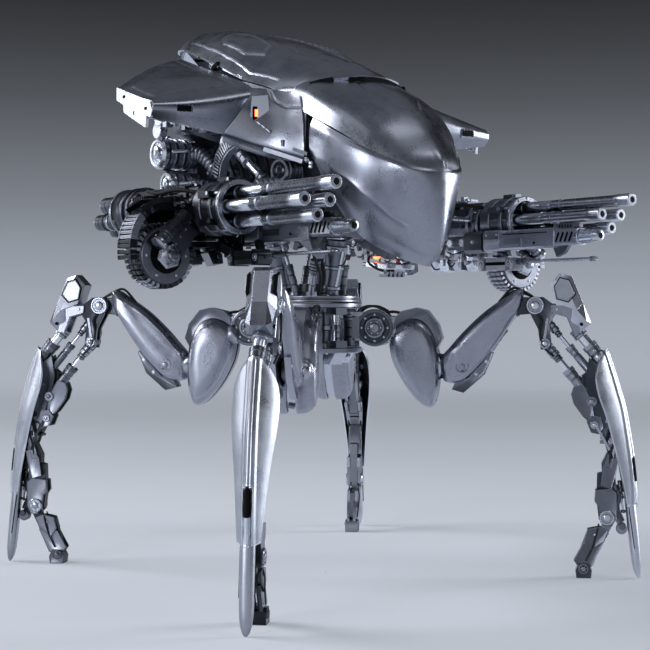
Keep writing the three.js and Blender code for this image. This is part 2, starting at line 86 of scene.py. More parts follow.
HIP, THIGH, KNEE, ANKLE = (hinge(n) for n in ("hip_pitch", "thigh_pitch", "knee_pitch", "claw_pitch"))


# ---------- materials ----------
def material(name):
    made = bpy.data.materials.new(name)
    made.use_nodes = True
    return made, made.node_tree, made.node_tree.nodes["Principled BSDF"]


def node(tree, kind, links=(), **values):
    """Adds a shader node. Links pair a source with an input; values set inputs, with _ for a space."""
    made = tree.nodes.new("ShaderNode" + kind)
    for key, value in values.items():
        made.inputs[key.replace("_", " ")].default_value = value
    for source, target in links:
        tree.links.new(source, made.inputs[target])
    return made


def ramp(tree, source, stops):
    """A color ramp. Its stops pair a place from 0 to 1 with a gray or a color."""
    made = tree.nodes.new("ShaderNodeValToRGB")
    elements = made.color_ramp.elements
    while len(elements) < len(stops):
        elements.new(0.5)
    for element, (at, value) in zip(elements, stops):
        element.position = at
        element.color = (*value, 1) if isinstance(value, tuple) else (value, value, value, 1)
    tree.links.new(source, made.inputs["Fac"])
    return made.outputs["Color"]


def mix(tree, kind, fac, a, b):
    """Blends two colors. The factor and both colors may be sockets."""
    made = tree.nodes.new("ShaderNodeMix")
    made.data_type = "RGBA"
    made.blend_type = kind
    for value, socket in ((fac, 0), (a, 6), (b, 7)):
        if isinstance(value, bpy.types.NodeSocket):
            tree.links.new(value, made.inputs[socket])
        elif socket:
            made.inputs[socket].default_value = (*value, 1)
        else:
            made.inputs[socket].default_value = value
    return made.outputs[2]


def worn_metal(name, low, high, rough, scratches=0.5, painted_shade_amount=0.5, bump=0.1, coat=0.0):
    """Polished metal: clouds of tone, fine scratches, painted shade in the hollows and bright worn edges."""
    made, tree, shader = material(name)
    where = node(tree, "TexCoord").outputs["Object"]
    clouds = node(tree, "TexNoise", [(where, "Vector")], Scale=34.0, Detail=9.0, Roughness=0.72)
    speckle = node(tree, "TexNoise", [(where, "Vector")], Scale=900.0, Detail=3.0, Roughness=0.7)
    stretch = node(tree, "Mapping", [(where, "Vector")], Scale=(60, 900, 900), Rotation=(0.3, 0.5, 0.8))
    lines = node(tree, "TexNoise", [(stretch.outputs[0], "Vector")], Scale=1.0, Detail=4.0, Roughness=0.8)
    cross = node(tree, "Mapping", [(where, "Vector")], Scale=(1100, 70, 900), Rotation=(0.9, 0.2, 0.4))
    hatch = node(tree, "TexNoise", [(cross.outputs[0], "Vector")], Scale=1.0, Detail=3.0, Roughness=0.8)
    marks = mix(tree, "LIGHTEN", 1.0, ramp(tree, lines.outputs[0], [(0.56, 0.0), (0.74, 1.0)]),
                ramp(tree, hatch.outputs[0], [(0.6, 0.0), (0.78, 1.0)]))
    edge = node(tree, "NewGeometry").outputs["Pointiness"]
    worn = ramp(tree, edge, [(0.505, 0.0), (0.56, 1.0)])
    # Painted shade: the hollows are darkened in the base colour.
    painted_shade_mask = ramp(tree, edge, [(0.43, 1.0), (0.495, 0.0)])
    tone = mix(tree, "MIX", ramp(tree, clouds.outputs[0], [(0.2, 0.0), (0.8, 1.0)]), low, high)
    bright = tuple(min(1.0, 1.35 * c + 0.08) for c in high)
    tone = mix(tree, "MIX", mix(tree, "MULTIPLY", 1.0, marks, (scratches,) * 3), tone, bright)
    tone = mix(tree, "MIX", worn, tone, bright)
    dark = tuple(0.25 * c for c in low)
    tree.links.new(mix(tree, "MIX", mix(tree, "MULTIPLY", 1.0, painted_shade_mask, (painted_shade_amount,) * 3), tone, dark),
                   shader.inputs["Base Color"])
    haze = mix(tree, "ADD", 1.0, ramp(tree, clouds.outputs[0], [(0.2, rough[0]), (0.8, rough[1])]),
               ramp(tree, speckle.outputs[0], [(0.5, 0.0), (0.75, 0.12)]))
    tree.links.new(haze, shader.inputs["Roughness"])
    height = mix(tree, "ADD", 0.35, speckle.outputs[0], marks)
    dents = node(tree, "Bump", [(height, "Height")], Strength=bump, Distance=0.0004)
    tree.links.new(dents.outputs[0], shader.inputs["Normal"])
    shader.inputs["Metallic"].default_value = 1.0
    shader.inputs["Coat Weight"].default_value = coat
    shader.inputs["Coat Roughness"].default_value = 0.1
    return made


def glow(name, color, strength):
    made, tree, shader = material(name)
    facing = node(tree, "LayerWeight", Blend=0.35)
    tree.links.new(mix(tree, "MIX", facing.outputs["Facing"], color, tuple(0.3 * c for c in color)),
                   shader.inputs["Emission Color"])
    shader.inputs["Emission Strength"].default_value = strength
    shader.inputs["Base Color"].default_value = (*color, 1)
    shader.inputs["Roughness"].default_value = 0.15
    return made


def dull(name, color, rough, grain=0.3, gloss=0.5):
    """Rubber, paint and anything that doesn't shine: a mottled tone and a fine grain."""
    made, tree, shader = material(name)
    where = node(tree, "TexCoord").outputs["Object"]
    clouds = node(tree, "TexNoise", [(where, "Vector")], Scale=60.0, Detail=5.0)
    fine = node(tree, "TexNoise", [(where, "Vector")], Scale=1500.0, Detail=2.0)
    light = tuple(min(1.0, 1.5 * c) for c in color)
    tree.links.new(mix(tree, "MIX", ramp(tree, clouds.outputs[0], [(0.35, 0.0), (0.7, 1.0)]), color, light),
                   shader.inputs["Base Color"])
    tree.links.new(ramp(tree, clouds.outputs[0], [(0.3, rough), (0.7, rough + 0.15)]),
                   shader.inputs["Roughness"])
    bump = node(tree, "Bump", [(fine.outputs[0], "Height")], Strength=grain, Distance=0.0002)
    tree.links.new(bump.outputs[0], shader.inputs["Normal"])
    shader.inputs["Specular IOR Level"].default_value = gloss
    return made


ARMOUR = worn_metal("armour_steel", (0.27, 0.288, 0.35), (0.38, 0.40, 0.475), (0.17, 0.42), 0.5, 0.5, 0.10,
                    0.25)
BLADE = worn_metal("blade_steel", (0.32, 0.34, 0.40), (0.50, 0.53, 0.60), (0.20, 0.46), 0.6, 0.6, 0.16, 0.2)
FRAME = worn_metal("frame_steel", (0.06, 0.066, 0.082), (0.12, 0.13, 0.16), (0.24, 0.42), 0.4, 0.9, 0.15)
GUN = worn_metal("gun_steel", (0.14, 0.15, 0.18), (0.25, 0.265, 0.32), (0.24, 0.38), 0.4, 0.9, 0.12)
CHROME = worn_metal("bright_steel", (0.32, 0.34, 0.40), (0.50, 0.53, 0.60), (0.18, 0.30), 0.4, 0.6, 0.06)
# Painted shade: a flat black laid into bores, slits, seams, gaps and undersides where shade falls.
SHADE_BLACK = dull("painted_shade_black", (0.004, 0.004, 0.005), 0.6, gloss=0.06)
RUBBER = dull("hose_rubber", (0.012, 0.012, 0.014), 0.4, gloss=0.3)
LENS = dull("dark_lens", (0.01, 0.012, 0.018), 0.06, grain=0.0)
LAMP = glow("lamp_red", (1.0, 0.16, 0.05), 6.0)
ALL = (ARMOUR, FRAME, GUN, CHROME, SHADE_BLACK, RUBBER, LENS, LAMP, BLADE)
A, F, G, C, SHADOW, R, L, RED, B = range(len(ALL))


# ---------- shapes ----------
def around(count):
    """Cosine and sine of evenly spaced turns."""
    turns = (2 * math.pi * k / count for k in range(count))
    return [(math.cos(t), math.sin(t)) for t in turns]


def scaled(outline, centre, share):
    """An outline drawn in towards its centre."""
    return [(centre[0] + (x - centre[0]) * share, centre[1] + (z - centre[1]) * share) for x, z in outline]


class Kit:
    """Collects the shapes of one piece, in millimetres of its own place."""

    def __init__(self, place, m):
        self.bm = bmesh.new()
        self.place = place
        self.m = m

    def _faces(self, verts, m):
        for face in {f for v in verts for f in v.link_faces}:
            face.material_index = self.m if m is None else m

    def box(self, size, at, turn=Matrix(), m=None):
        matrix = Matrix.Translation(at) @ turn @ Matrix.Diagonal((*size, 1))
        self._faces(bmesh.ops.create_cube(self.bm, size=1, matrix=matrix)["verts"], m)

    def beam(self, p, q, width, height, m=None, up=(0, 0, 1)):
        """A square bar from p to q."""
        p, q = Vector(p), Vector(q)
        z = (q - p).normalized()
        x = z.cross(Vector(up)).normalized()
        turn = Matrix((x, z.cross(x), z)).transposed().to_4x4()
        self.box((width, height, (q - p).length), (p + q) / 2, turn, m)

    def turned(self, p, q, profile, sides=24, m=None, ring=False):
        """A lathed form on the axis from p to q. The profile pairs distance along it with radius."""
        p, axis = Vector(p), (Vector(q) - Vector(p)).normalized()
        side = axis.orthogonal().normalized()
        other = axis.cross(side)
        rings = []
        for along, radius in profile:
            turn = [(side * c + other * s) * radius for c, s in around(sides)]
            rings.append([self.bm.verts.new(p + axis * along + offset) for offset in turn])
        self.skin(rings + rings[:1] if ring else rings, m, not ring)

    def skin(self, rings, m, caps):
        """Joins rings of points with faces, and closes both ends if caps is true."""
        slot = self.m if m is None else m
        n = len(rings[0])
        faces = [self.bm.faces.new((a[k], a[(k + 1) % n], b[(k + 1) % n], b[k]))
                 for a, b in zip(rings, rings[1:]) for k in range(n)]
        if caps:
            faces += [self.bm.faces.new(rings[0][::-1]), self.bm.faces.new(rings[-1])]
        for face in faces:
            face.material_index = slot

    def rod(self, p, q, r, sides=20, m=None):
        """A plain round bar."""
        length = (Vector(q) - Vector(p)).length
        self.turned(p, q, [(0, r), (length, r)], sides, m)

    def pipe(self, p, q, r, bore, m=None, sides=20, depth=None):
        """A round bar whose far end is bored; the bore is lined with painted shade."""
        length = (Vector(q) - Vector(p)).length
        depth = depth or 4 * bore
        lip = 0.12 * r
        self.turned(p, q, [(0, r), (length - lip, r), (length, r - lip), (length, bore)], sides, m)
        self.turned(p, q, [(length - depth, bore), (length + 0.01, bore)], sides, SHADOW)

    def drum(self, p, q, r, grooves=0, depth=0.8, m=None, sides=28, lip=0.8):
        """A round bar with chamfered ends and turned grooves."""
        length = (Vector(q) - Vector(p)).length
        lip = min(lip, length / 4)
        profile = [(0, r - lip), (lip, r)]
        pitch = (length - 2 * lip) / (grooves + 1)
        for k in range(grooves):
            mid = lip + pitch * (k + 1)
            w = min(0.9, pitch / 5)
            profile += [(mid - w, r), (mid - w * 0.6, r - depth), (mid + w * 0.6, r - depth), (mid + w, r)]
        self.turned(p, q, profile + [(length - lip, r), (length, r - lip)], sides, m)

    def hub(self, at, axis, r, height, m=None, cap=C):
        """A bearing cap: stepped rim, ring of bolts and a bright boss."""
        at, axis = Vector(at), Vector(axis).normalized()
        tip = at + axis
        h = height
        rim = [(0, r), (h * 0.55, r), (h * 0.7, r * 0.93), (h * 0.7, r * 0.8), (h * 0.45, r * 0.76),
               (h * 0.45, r * 0.5), (h * 0.9, r * 0.46), (h, r * 0.38)]
        self.turned(at, tip, rim, 28, m)
        self.turned(at + axis * h * 0.9, tip, [(0, r * 0.3), (h * 0.4, r * 0.28), (h * 0.4, r * 0.14),
                                               (h * 0.2, r * 0.12)], 6, cap)
        side = axis.orthogonal().normalized()
        for k in range(6):
            spot = at + axis * h * 0.4 + Matrix.Rotation(math.pi * k / 3 + 0.3, 3, axis) @ side * r * 0.63
            self.rod(spot, spot + axis * h * 0.22, r * 0.075, sides=6, m=cap)

    def bolt(self, at, axis, r=1.4):
        """A six-sided head on its washer."""
        at, axis = Vector(at), Vector(axis).normalized()
        self.turned(at, at + axis, [(-0.6, r * 1.5), (0.3, r * 1.5), (0.3, r), (r * 0.9, r * 0.9)], 6, C)

    def tube(self, points, r, m=R, sides=10, ribs=0.0, pitch=2.4):
        """A hose along a smooth line through the points, ribbed if ribs is more than nothing."""
        line = smooth_line(points, (0.5 if ribs else 2.0) * (pitch / 2.4))
        rings, normal = [], None
        for k, (p, axis) in enumerate(line):
            normal = normal or axis.orthogonal()
            normal = (normal - axis * normal.dot(axis)).normalized()
            other = axis.cross(normal)
            radius = r * (1 + ribs * (0.0, 1.0, 1.0, -0.2)[k % 4])
            rings.append([self.bm.verts.new(p + (normal * c + other * s) * radius)
                          for c, s in around(sides)])
        self.skin(rings, m, True)

    def piston(self, p, q, r, share=0.55, m=F):
        """A cylinder with a gland and a bright rod that ends in an eye."""
        p, q = Vector(p), Vector(q)
        joint = p.lerp(q, share)
        self.drum(p, joint, r, 2, m=m, sides=20)
        self.drum(joint.lerp(p, 0.12), joint.lerp(q, 0.04), r * 1.18, 1, m=m, sides=20)
        self.rod(joint, q, r * 0.5, m=C)
        for end in (p, q):
            across = (q - p).cross(Vector((0.3, 0.2, 1))).normalized() * r
            self.drum(end - across, end + across, r * 0.8, 0, m=m, sides=16, lip=0.4)

    def hull(self, points, m=None):
        """The convex body round the points."""
        made = [self.bm.verts.new(p) for p in points]
        out = bmesh.ops.convex_hull(self.bm, input=made)
        loose = list({v for v in out["geom_interior"] + out["geom_unused"]
                      if isinstance(v, bmesh.types.BMVert)})
        bmesh.ops.delete(self.bm, geom=loose, context="VERTS")
        self._faces([v for v in made if v.is_valid], m)

    def plate(self, outline, low, high, m=None, inset=0.0):
        """A flat plate whose outline is in X and Z; inset sinks both faces, which leaves a raised rim."""
        near = [self.bm.verts.new((x, low, z)) for x, z in outline]
        far = [self.bm.verts.new((x, high, z)) for x, z in outline]
        self.skin([near, far], m, False)
        caps = [self.bm.faces.new(near), self.bm.faces.new(far)]
        bmesh.ops.recalc_face_normals(self.bm, faces=list({f for v in near + far for f in v.link_faces}))
        for cap in caps:
            cap.material_index = self.m if m is None else m
        if inset:
            bmesh.ops.inset_individual(self.bm, faces=caps, thickness=inset, depth=-0.5 * inset)

    def fins(self, start, step, count, size, m=None):
        """A row of equal boxes."""
        for k in range(count):
            self.box(size, Vector(start) + Vector(step) * k, m=m)

    def clutter(self, low, high, count, scale=1.0, out=None):
        """Small blocks, bosses and pipes scattered through a box between two corners."""
        for _ in range(count):
            at = Vector(dice.uniform(min(pair), max(pair)) for pair in zip(low, high))
            slot = dice.choice((F, F, G, G, C))
            kind = dice.random()
            axis = Vector(((1, 0, 0), (0, 1, 0), (0, 0, 1))[dice.randrange(3)])
            if out and dice.random() < 0.5:
                axis = Vector(out)
            long = dice.uniform(4, 14) * scale
            if kind < 0.42:
                turn = Matrix.Rotation(dice.choice((0, 0, 0.35, -0.35)), 4, "X")
                self.box([dice.uniform(3, 11) * scale for _ in range(3)], at, turn, slot)
            elif kind < 0.75:
                self.drum(at - axis * long / 2, at + axis * long / 2, dice.uniform(1.6, 4.4) * scale,
                          dice.randrange(3), m=slot, sides=14)
            elif kind < 0.9:
                self.hub(at, axis, dice.uniform(3, 6) * scale, 3 * scale, m=slot)
            else:
                end = at + Vector(dice.uniform(-1, 1) for _ in range(3)) * 16 * scale
                middle = (at + end) / 2 + Vector((0, 0, -6 * scale))
                self.tube([at, middle, end], 1.1 * scale, sides=8)

    def make(self, name, body, replaces=(), bevel=0.35, smooth=38):
        """Writes the piece: one object of the collected shapes that rides on a body."""
        self.bm.transform(self.place)
        bmesh.ops.recalc_face_normals(self.bm, faces=self.bm.faces)
        mesh = bpy.data.meshes.new(name)
        used = sorted({f.material_index for f in self.bm.faces})
        for face in self.bm.faces:
            face.material_index = used.index(face.material_index)
        self.bm.to_mesh(mesh)
        self.bm.free()
        for index in used:
            mesh.materials.append(ALL[index])
        piece = bpy.data.objects.new(name, mesh)
        bpy.context.scene.collection.objects.link(piece)
        dress(piece, bevel, smooth)
        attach(piece, body)
        if replaces:
            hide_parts(*replaces)


def smooth_line(points, step):
    """Points and directions every step millimetres along a Catmull-Rom line."""
    pts = [Vector(p) for p in points]
    pts = [2 * pts[0] - pts[1], *pts, 2 * pts[-1] - pts[-2]]
    places = []
    for a, b, c, d in zip(pts, pts[1:], pts[2:], pts[3:]):
        count = max(2, int((c - b).length / step))
        for k in range(count):
            t = k / count
            places.append(0.5 * (2 * b + (c - a) * t + (2 * a - 5 * b + 4 * c - d) * t**2
                                 + (3 * b - a - 3 * c + d) * t**3))
    places.append(pts[-2])
    return [(p, (places[min(i + 1, len(places) - 1)] - places[max(i - 1, 0)]).normalized())
            for i, p in enumerate(places)]


def dress(piece, bevel, smooth):
    """Rounds the sharp edges and shades the rest smooth."""
    mesh = piece.data
    mesh.polygons.foreach_set("use_smooth", [True] * len(mesh.polygons))
    mesh.set_sharp_from_angle(angle=math.radians(smooth))
    if bevel:
        edges = piece.modifiers.new("edges", "BEVEL")
        edges.width = bevel * MM
        edges.segments = 2
        edges.limit_method = "ANGLE"
        edges.angle_limit = math.radians(smooth)
        edges.harden_normals = True
        edges.miter_outer = "MITER_ARC"


def weights(n, count, closed=False):
    """Catmull-Rom weights of n control points at evenly spaced places, one row for each place."""
    table = np.zeros((count, n))
    span = n if closed else n - 1
    for row, t in zip(table, np.linspace(0, span, count)):
        k = min(int(t), span - 1)
        f = t - k
        shares = (-0.5 * f**3 + f**2 - 0.5 * f, 1.5 * f**3 - 2.5 * f**2 + 1,
                  -1.5 * f**3 + 2 * f**2 + 0.5 * f, 0.5 * f**3 - 0.5 * f**2)
        for i, share in zip(range(k - 1, k + 3), shares):
            if closed:
                row[i % n] += share
            elif i < 0:
                row[0] += 2 * share
                row[1] -= share
            elif i >= n:
                row[-1] += 2 * share
                row[-2] -= share
            else:
                row[i] += share
    return table


def line_distance(points, line, closed=False):
    """Distance of every point to a polyline, both in two dimensions."""
    corners = np.array(line, float)
    ends = np.roll(corners, -1, axis=0) if closed else corners[1:]
    best = np.full(points.shape[:-1], 1e9)
    for a, b in zip(corners, ends):
        along = b - a
        t = np.clip(((points - a) @ along) / max(along @ along, 1e-9), 0, 1)
        best = np.minimum(best, np.linalg.norm(points - a - t[..., None] * along, axis=-1))
    return best


def inside(points, polygon):
    """Signed distance to a polygon, positive inside it."""
    corners = np.array(polygon, float)
    hit = np.zeros(points.shape[:-1], bool)
    for a, b in zip(corners, np.roll(corners, -1, axis=0)):
        crosses = (a[1] > points[..., 1]) != (b[1] > points[..., 1])
        rise = np.where(b[1] == a[1], 1e-9, b[1] - a[1])
        hit ^= crosses & (points[..., 0] < (b[0] - a[0]) * (points[..., 1] - a[1]) / rise + a[0])
    return np.where(hit, 1, -1) * line_distance(points, polygon, True)


def step(value, width=1.0):
    """Rises smoothly from 0 to 1 as value goes from -width to width."""
    t = np.clip(value / (2 * width) + 0.5, 0, 1)
    return t * t * (3 - 2 * t)


def groove(distance, depth=1.0, width=1.1):
    return -depth * np.exp(-((distance / width) ** 4))


def shell(name, body, net, counts, thickness, relief=None, paint=None, place=BODY, m=A, closed=False,
          replaces=(), bevel=0.5):
    """A curved sheet through a net of control points.

    relief moves its points out by millimetres; paint is a second material and the mask of where it goes.
    """
    net = np.array(net, float)
    rows, columns = counts
    points = np.einsum("ri,ijk,cj->rck", weights(net.shape[0], rows), net, weights(net.shape[1], columns,
            closed))
    if closed:
        points = points[:, :-1]
    down = np.gradient(points, axis=0)
    if closed:
        across = (np.roll(points, -1, axis=1) - np.roll(points, 1, axis=1)) / 2
    else:
        across = np.gradient(points, axis=1)
    normal = np.cross(down, across)
    normal /= np.maximum(np.linalg.norm(normal, axis=-1, keepdims=True), 1e-9)
    if relief is not None:
        points = points + normal * relief(points)[..., None]
    rows, columns = points.shape[:2]
    wrap = columns if closed else columns - 1
    faces = [(i * columns + k, (i + 1) * columns + k, (i + 1) * columns + (k + 1) % columns,
              i * columns + (k + 1) % columns)
             for i in range(rows - 1) for k in range(wrap)]
    mesh = bpy.data.meshes.new(name)
    mesh.from_pydata([place @ Vector(p) for p in points.reshape(-1, 3)], [], faces)
    mesh.materials.append(ALL[m])
    if paint is not None:
        slot, mask = paint
        mesh.materials.append(ALL[slot])
        flags = mask(points).reshape(-1)
        for polygon in mesh.polygons:
            polygon.material_index = int(all(flags[v] for v in polygon.vertices))
    piece = bpy.data.objects.new(name, mesh)
    bpy.context.scene.collection.objects.link(piece)
    if thickness:
        wall = piece.modifiers.new("wall", "SOLIDIFY")
        wall.thickness = thickness * MM
        wall.offset = -1
    dress(piece, bevel, 42)
    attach(piece, body)
    if replaces:
        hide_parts(*replaces)
    return piece


# ---------- legs ----------
def half_shell(name, body, outline, low, high, place, replaces=(), relief=None):
    """One half of a pod: its rim is at low, across the leg, and it bulges out to high."""
    rim = np.array([(x, 0.0, z) for x, z in outline])
    middle = rim.mean(axis=0)
    rise = high - low
    levels = [(0.93, 0.16), (0.955, 0.02), (0.985, 0.0), (1.0, 0.07), (0.985, 0.38), (0.93, 0.66),
              (0.79, 0.87), (0.5, 0.985), (0.2, 1.0), (0.01, 1.0)]
    net = []
    for share, height in levels:
        ring = middle + (rim - middle) * share
        ring[:, 1] = low + rise * height
        net.append(ring)
    piece = shell(name, body, net, (46, 150), 0, relief, place=place, closed=True, replaces=replaces,
                  bevel=0)
    bm = bmesh.new()
    bm.from_mesh(piece.data)
    bmesh.ops.holes_fill(bm, edges=[e for e in bm.edges if e.is_boundary], sides=0)
    bmesh.ops.recalc_face_normals(bm, faces=bm.faces)
    for face in bm.faces:
        face.smooth = True
    bm.to_mesh(piece.data)
    bm.free()


POD_CENTRE = (122, 250)
POD = [(93, 283), (103, 297), (120, 303.5), (137, 297), (149, 275), (153, 240), (150, 212), (143, 197),
       (128, 204), (110, 226), (96, 255)]
POD_HOOD = [(98, 294), (100, 304), (108, 311.5), (125, 315.5), (138, 312.5), (151, 296), (156, 279),
            (149, 266), (143, 284), (134, 297), (122, 299), (108, 294)]


THIGH_CENTRE = (200, 275)


def thigh_outline():
    x, z = THIGH
    root = [(x + 27 * math.cos(math.radians(t)), z + 27 * math.sin(math.radians(t)))
            for t in (225, 200, 175, 150, 125)]
    return root + [(182, 288), (206, 310.5), (232, 328), (249, 336.5), (248, 318), (238, 300), (222, 275),
                   (203, 250), (181, 229)]


def hip_yoke(leg, place):
    x, z = HIP
    yoke = Kit(place, F)
    yaw = 46
    yoke.drum((yaw, 0, z - 22.5), (yaw, 0, z + 22.5), 9.5, 3)
    yoke.drum((yaw, 0, z + 8), (yaw, 0, z + 20), 10.6, 2, m=G)
    yoke.box((9, 36, 25), (yaw + 7.5, 0, z))
    yoke.box((7, 28, 31), (yaw + 9, 0, z), m=G)
    for side in (-1, 1):
        yoke.turned((x, side * 13.4, z), (x, side * 20, z), [(0, 22), (3.2, 22), (4, 21), (4, 18.5),
                (3, 18), (3, 13.2), (4.2, 12.8), (5.1, 11.8)], 40)
        yoke.turned((x, side * 13.4, z), (x, side * 20, z), [(1, 22.5), (2.2, 22.5)], 40, C)
        yoke.hub((x, side * 16.4, z), (0, side, 0), 12, 4.6, m=G)
        for c, s in around(8):
            yoke.bolt((x + 15.6 * c, side * 16.4, z + 15.6 * s), (0, side, 0), 1.1)
        yoke.box((14, 4, 5), (yaw + 9, side * 15, z + 16.5), m=G)
        yoke.tube([(yaw + 4, side * 13, z + 13), (yaw + 16, side * 17.5, z + 24),
                   (x, side * 15.5, z + 25.5), (x + 13, side * 12, z + 20)], 1.5)
    yoke.make(f"hip_yoke_{leg}_detail", f"coxa_{leg}", [f"hip_yoke_{leg}"])


def hip_arm(leg, place):
    x, z = HIP
    arm = Kit(place, F)
    arm.drum((x, -12.5, z), (x, 12.5, z), 17, 4, 1.2, sides=40)
    arm.box((38, 23.6, 23.6), (x + 17, 0, z + 1), m=G)
    for side in (-1, 1):
        arm.box((18, 0.8, 15), (x + 22, side * 12, z + 1), m=A)
        arm.turned((x + 20, side * 12, z + 1), (x + 20, side * 14, z + 1), [(0, 5), (0.9, 5), (0.9, 3.8),
                (0.5, 3.6), (0.5, 2)], 20, G)
        arm.bolt((x + 29, side * 12.3, z + 6), (0, side, 0), 0.9)
        arm.bolt((x + 29, side * 12.3, z - 4), (0, side, 0), 0.9)
    arm.plate(POD_HOOD, -15, 15, m=G, inset=1.6)
    arm.fins((x + 12, 0, z + 13.6), (4.6, 0, 0), 4, (2.6, 18, 1.6), m=F)
    arm.tube([(x + 6, -6, z + 15), (x + 20, -8, z + 19), (x + 34, -6, z + 16), (x + 40, -3, z + 10)], 1.6,
             ribs=0.25)
    arm.make(f"hip_arm_{leg}_detail", f"hip_{leg}", [f"hip_arm_{leg}"], bevel=0.5)


def pod_relief(p):
    """A seam inside the rim, and room for the two bearings."""
    flat = p[..., (0, 2)]
    seam = inside(flat, scaled(POD, POD_CENTRE, 0.84))
    clear_hip = step(24 - np.hypot(flat[..., 0] - HIP[0], flat[..., 1] - HIP[1]), 2)
    clear_thigh = step(29.5 - np.hypot(flat[..., 0] - THIGH[0], flat[..., 1] - THIGH[1]), 2)
    return groove(seam, 0.5, 0.8) - 5 * clear_hip - 7 * clear_thigh


def hip_pod(leg, place):
    for side in (-1, 1):
        half_shell(f"hip_pod_{leg}_{'outer' if side > 0 else 'inner'}", f"hip_{leg}", POD, side * 5.2,
                   side * 29.5, place, [f"hip_pod_{leg}"], pod_relief)
    web = Kit(place, F)
    web.plate(scaled(POD, POD_CENTRE, 0.93), -5.4, 5.4, m=A)
    web.plate([(118, 228), (118, 262), (140, 264), (THIGH[0], THIGH[1] + 9), (THIGH[0], THIGH[1] - 9),
               (140, 228)], -4, 4, inset=1)
    web.drum((THIGH[0], -4, THIGH[1]), (THIGH[0], 4, THIGH[1]), 9.4, 0)
    web.piston((112, 0, 236), (146, 0, 206), 3.6)
    web.tube([(104, 2, 262), (112, 3, 240), (128, 2, 222), (142, 0, 212)], 1.4)
    web.make(f"hip_pod_{leg}_web", f"hip_{leg}", [f"hip_pod_{leg}"])


def thigh(leg, place):
    outline = thigh_outline()
    rim = scaled(outline, THIGH_CENTRE, 0.86)

    def relief(p):
        flat = p[..., (0, 2)]
        spine = line_distance(flat, [(172, 262), (205, 296), (243, 330)])
        return groove(inside(flat, rim), 0.4, 0.8) + 1.6 * np.exp(-((spine / 9) ** 2))

    for side in (-1, 1):
        half_shell(f"thigh_{leg}_{'outer' if side > 0 else 'inner'}", f"thigh_{leg}", outline, side * 5,
                   side * 19.6, place, [f"thigh_shell_{leg}"], relief)
    core = Kit(place, F)
    # Painted shade: a black plate in the gap between the two thigh halves.
    core.plate([(212, 284), (222, 316), (246, 331), (236, 304), (222, 280)], -5.2, 5.2, m=SHADOW)
    core.plate([(236, 306), (238, 328), (KNEE[0], KNEE[1] + 9.5), (KNEE[0], KNEE[1] - 9.5)], -5, 5,
               inset=1.2)
    core.drum((KNEE[0], -5.4, KNEE[1]), (KNEE[0], 5.4, KNEE[1]), 9.5, 1)
    guard = [(216, 262), (205, 236), (181, 215), (167, 219), (172, 229), (186, 232), (203, 250), (213, 264)]
    for side in (-1, 1):
        core.plate(guard, side * 5, side * 12.5, m=G, inset=1.4)
        core.hub((THIGH[0], side * 17, THIGH[1]), (0, side, 0), 8, 3.4, m=G)
        core.bolt((196, side * 12, 237), (0, side, 0), 1.6)
        core.bolt((208, side * 12, 252), (0, side, 0), 1.6)
    core.piston((214, 0, 268), (243, 0, 308), 3.4)
    core.tube([(222, -3, 322), (238, -4, 338), (252, -3, 334), (262, -2, 328)], 1.5)
    core.tube([(222, 3, 322), (240, 4, 335), (254, 3, 331), (263, 2, 327)], 1.3)
    core.make(f"thigh_{leg}_core", f"thigh_{leg}", [f"thigh_shell_{leg}"])


# The three rods of the knee start here and run parallel down into the shin.
MAIN_ROD, THIN_ROD, NECK_ROD = (276, 273.6), (276.5, 302.5), (312, 289)
SLIDE = Vector((0.64, 0, -0.768)).normalized()


def on_slide(start, distance):
    return Vector((start[0], 0, start[1])) + SLIDE * distance


def knee_guard(leg, place):
    guard = Kit(place, A)
    sides = (-1, 1)
    upper = ((282, 343, 13), (293.6, 356, 11), (307, 352, 8), (320, 321, 8), (313, 312, 16), (291, 320, 16),
             (298, 348, 15))
    lower = ((320, 321, 8), (329.4, 297, 8), (315, 285, 13), (306, 300, 14), (308, 318, 16), (324, 300, 14))
    for facets in (upper, lower):
        guard.hull([(x, s * w, z) for s in sides for x, z, w in facets])
    recess = [(286, 340), (293, 351), (304, 348), (312, 331), (303, 321), (289, 325)]
    # Painted shade: black round the edge of the recess and in the small holes.
    for s in sides:
        guard.plate(recess, s * 12, s * 16.2, m=SHADOW, inset=0.6)
        guard.plate(scaled(recess, (298, 336), 0.9), s * 12, s * 16.8, m=B, inset=1.2)
        guard.plate([(283, 318), (306, 318), (314, 300), (318, 286), (309, 284), (301, 304), (284, 309)],
                    s * 9, s * 14.4, inset=1.0)
        guard.bolt((297, s * 14.6, 335), (0, s, 0), 1.5)
        guard.bolt((290, s * 14.6, 313.5), (0, s, 0), 1.3)
        guard.rod((318, s * 14, 296), (318, s * 15.6, 296), 2, m=SHADOW)
    guard.drum(on_slide(NECK_ROD, -2), on_slide(NECK_ROD, 10), 8.6, 2, m=G)
    guard.rod(on_slide(NECK_ROD, 8), on_slide(NECK_ROD, 31), 6.2, m=C)
    guard.make(f"knee_guard_{leg}_plates", f"knee_{leg}", [f"knee_guard_{leg}"], bevel=0.9, smooth=22)


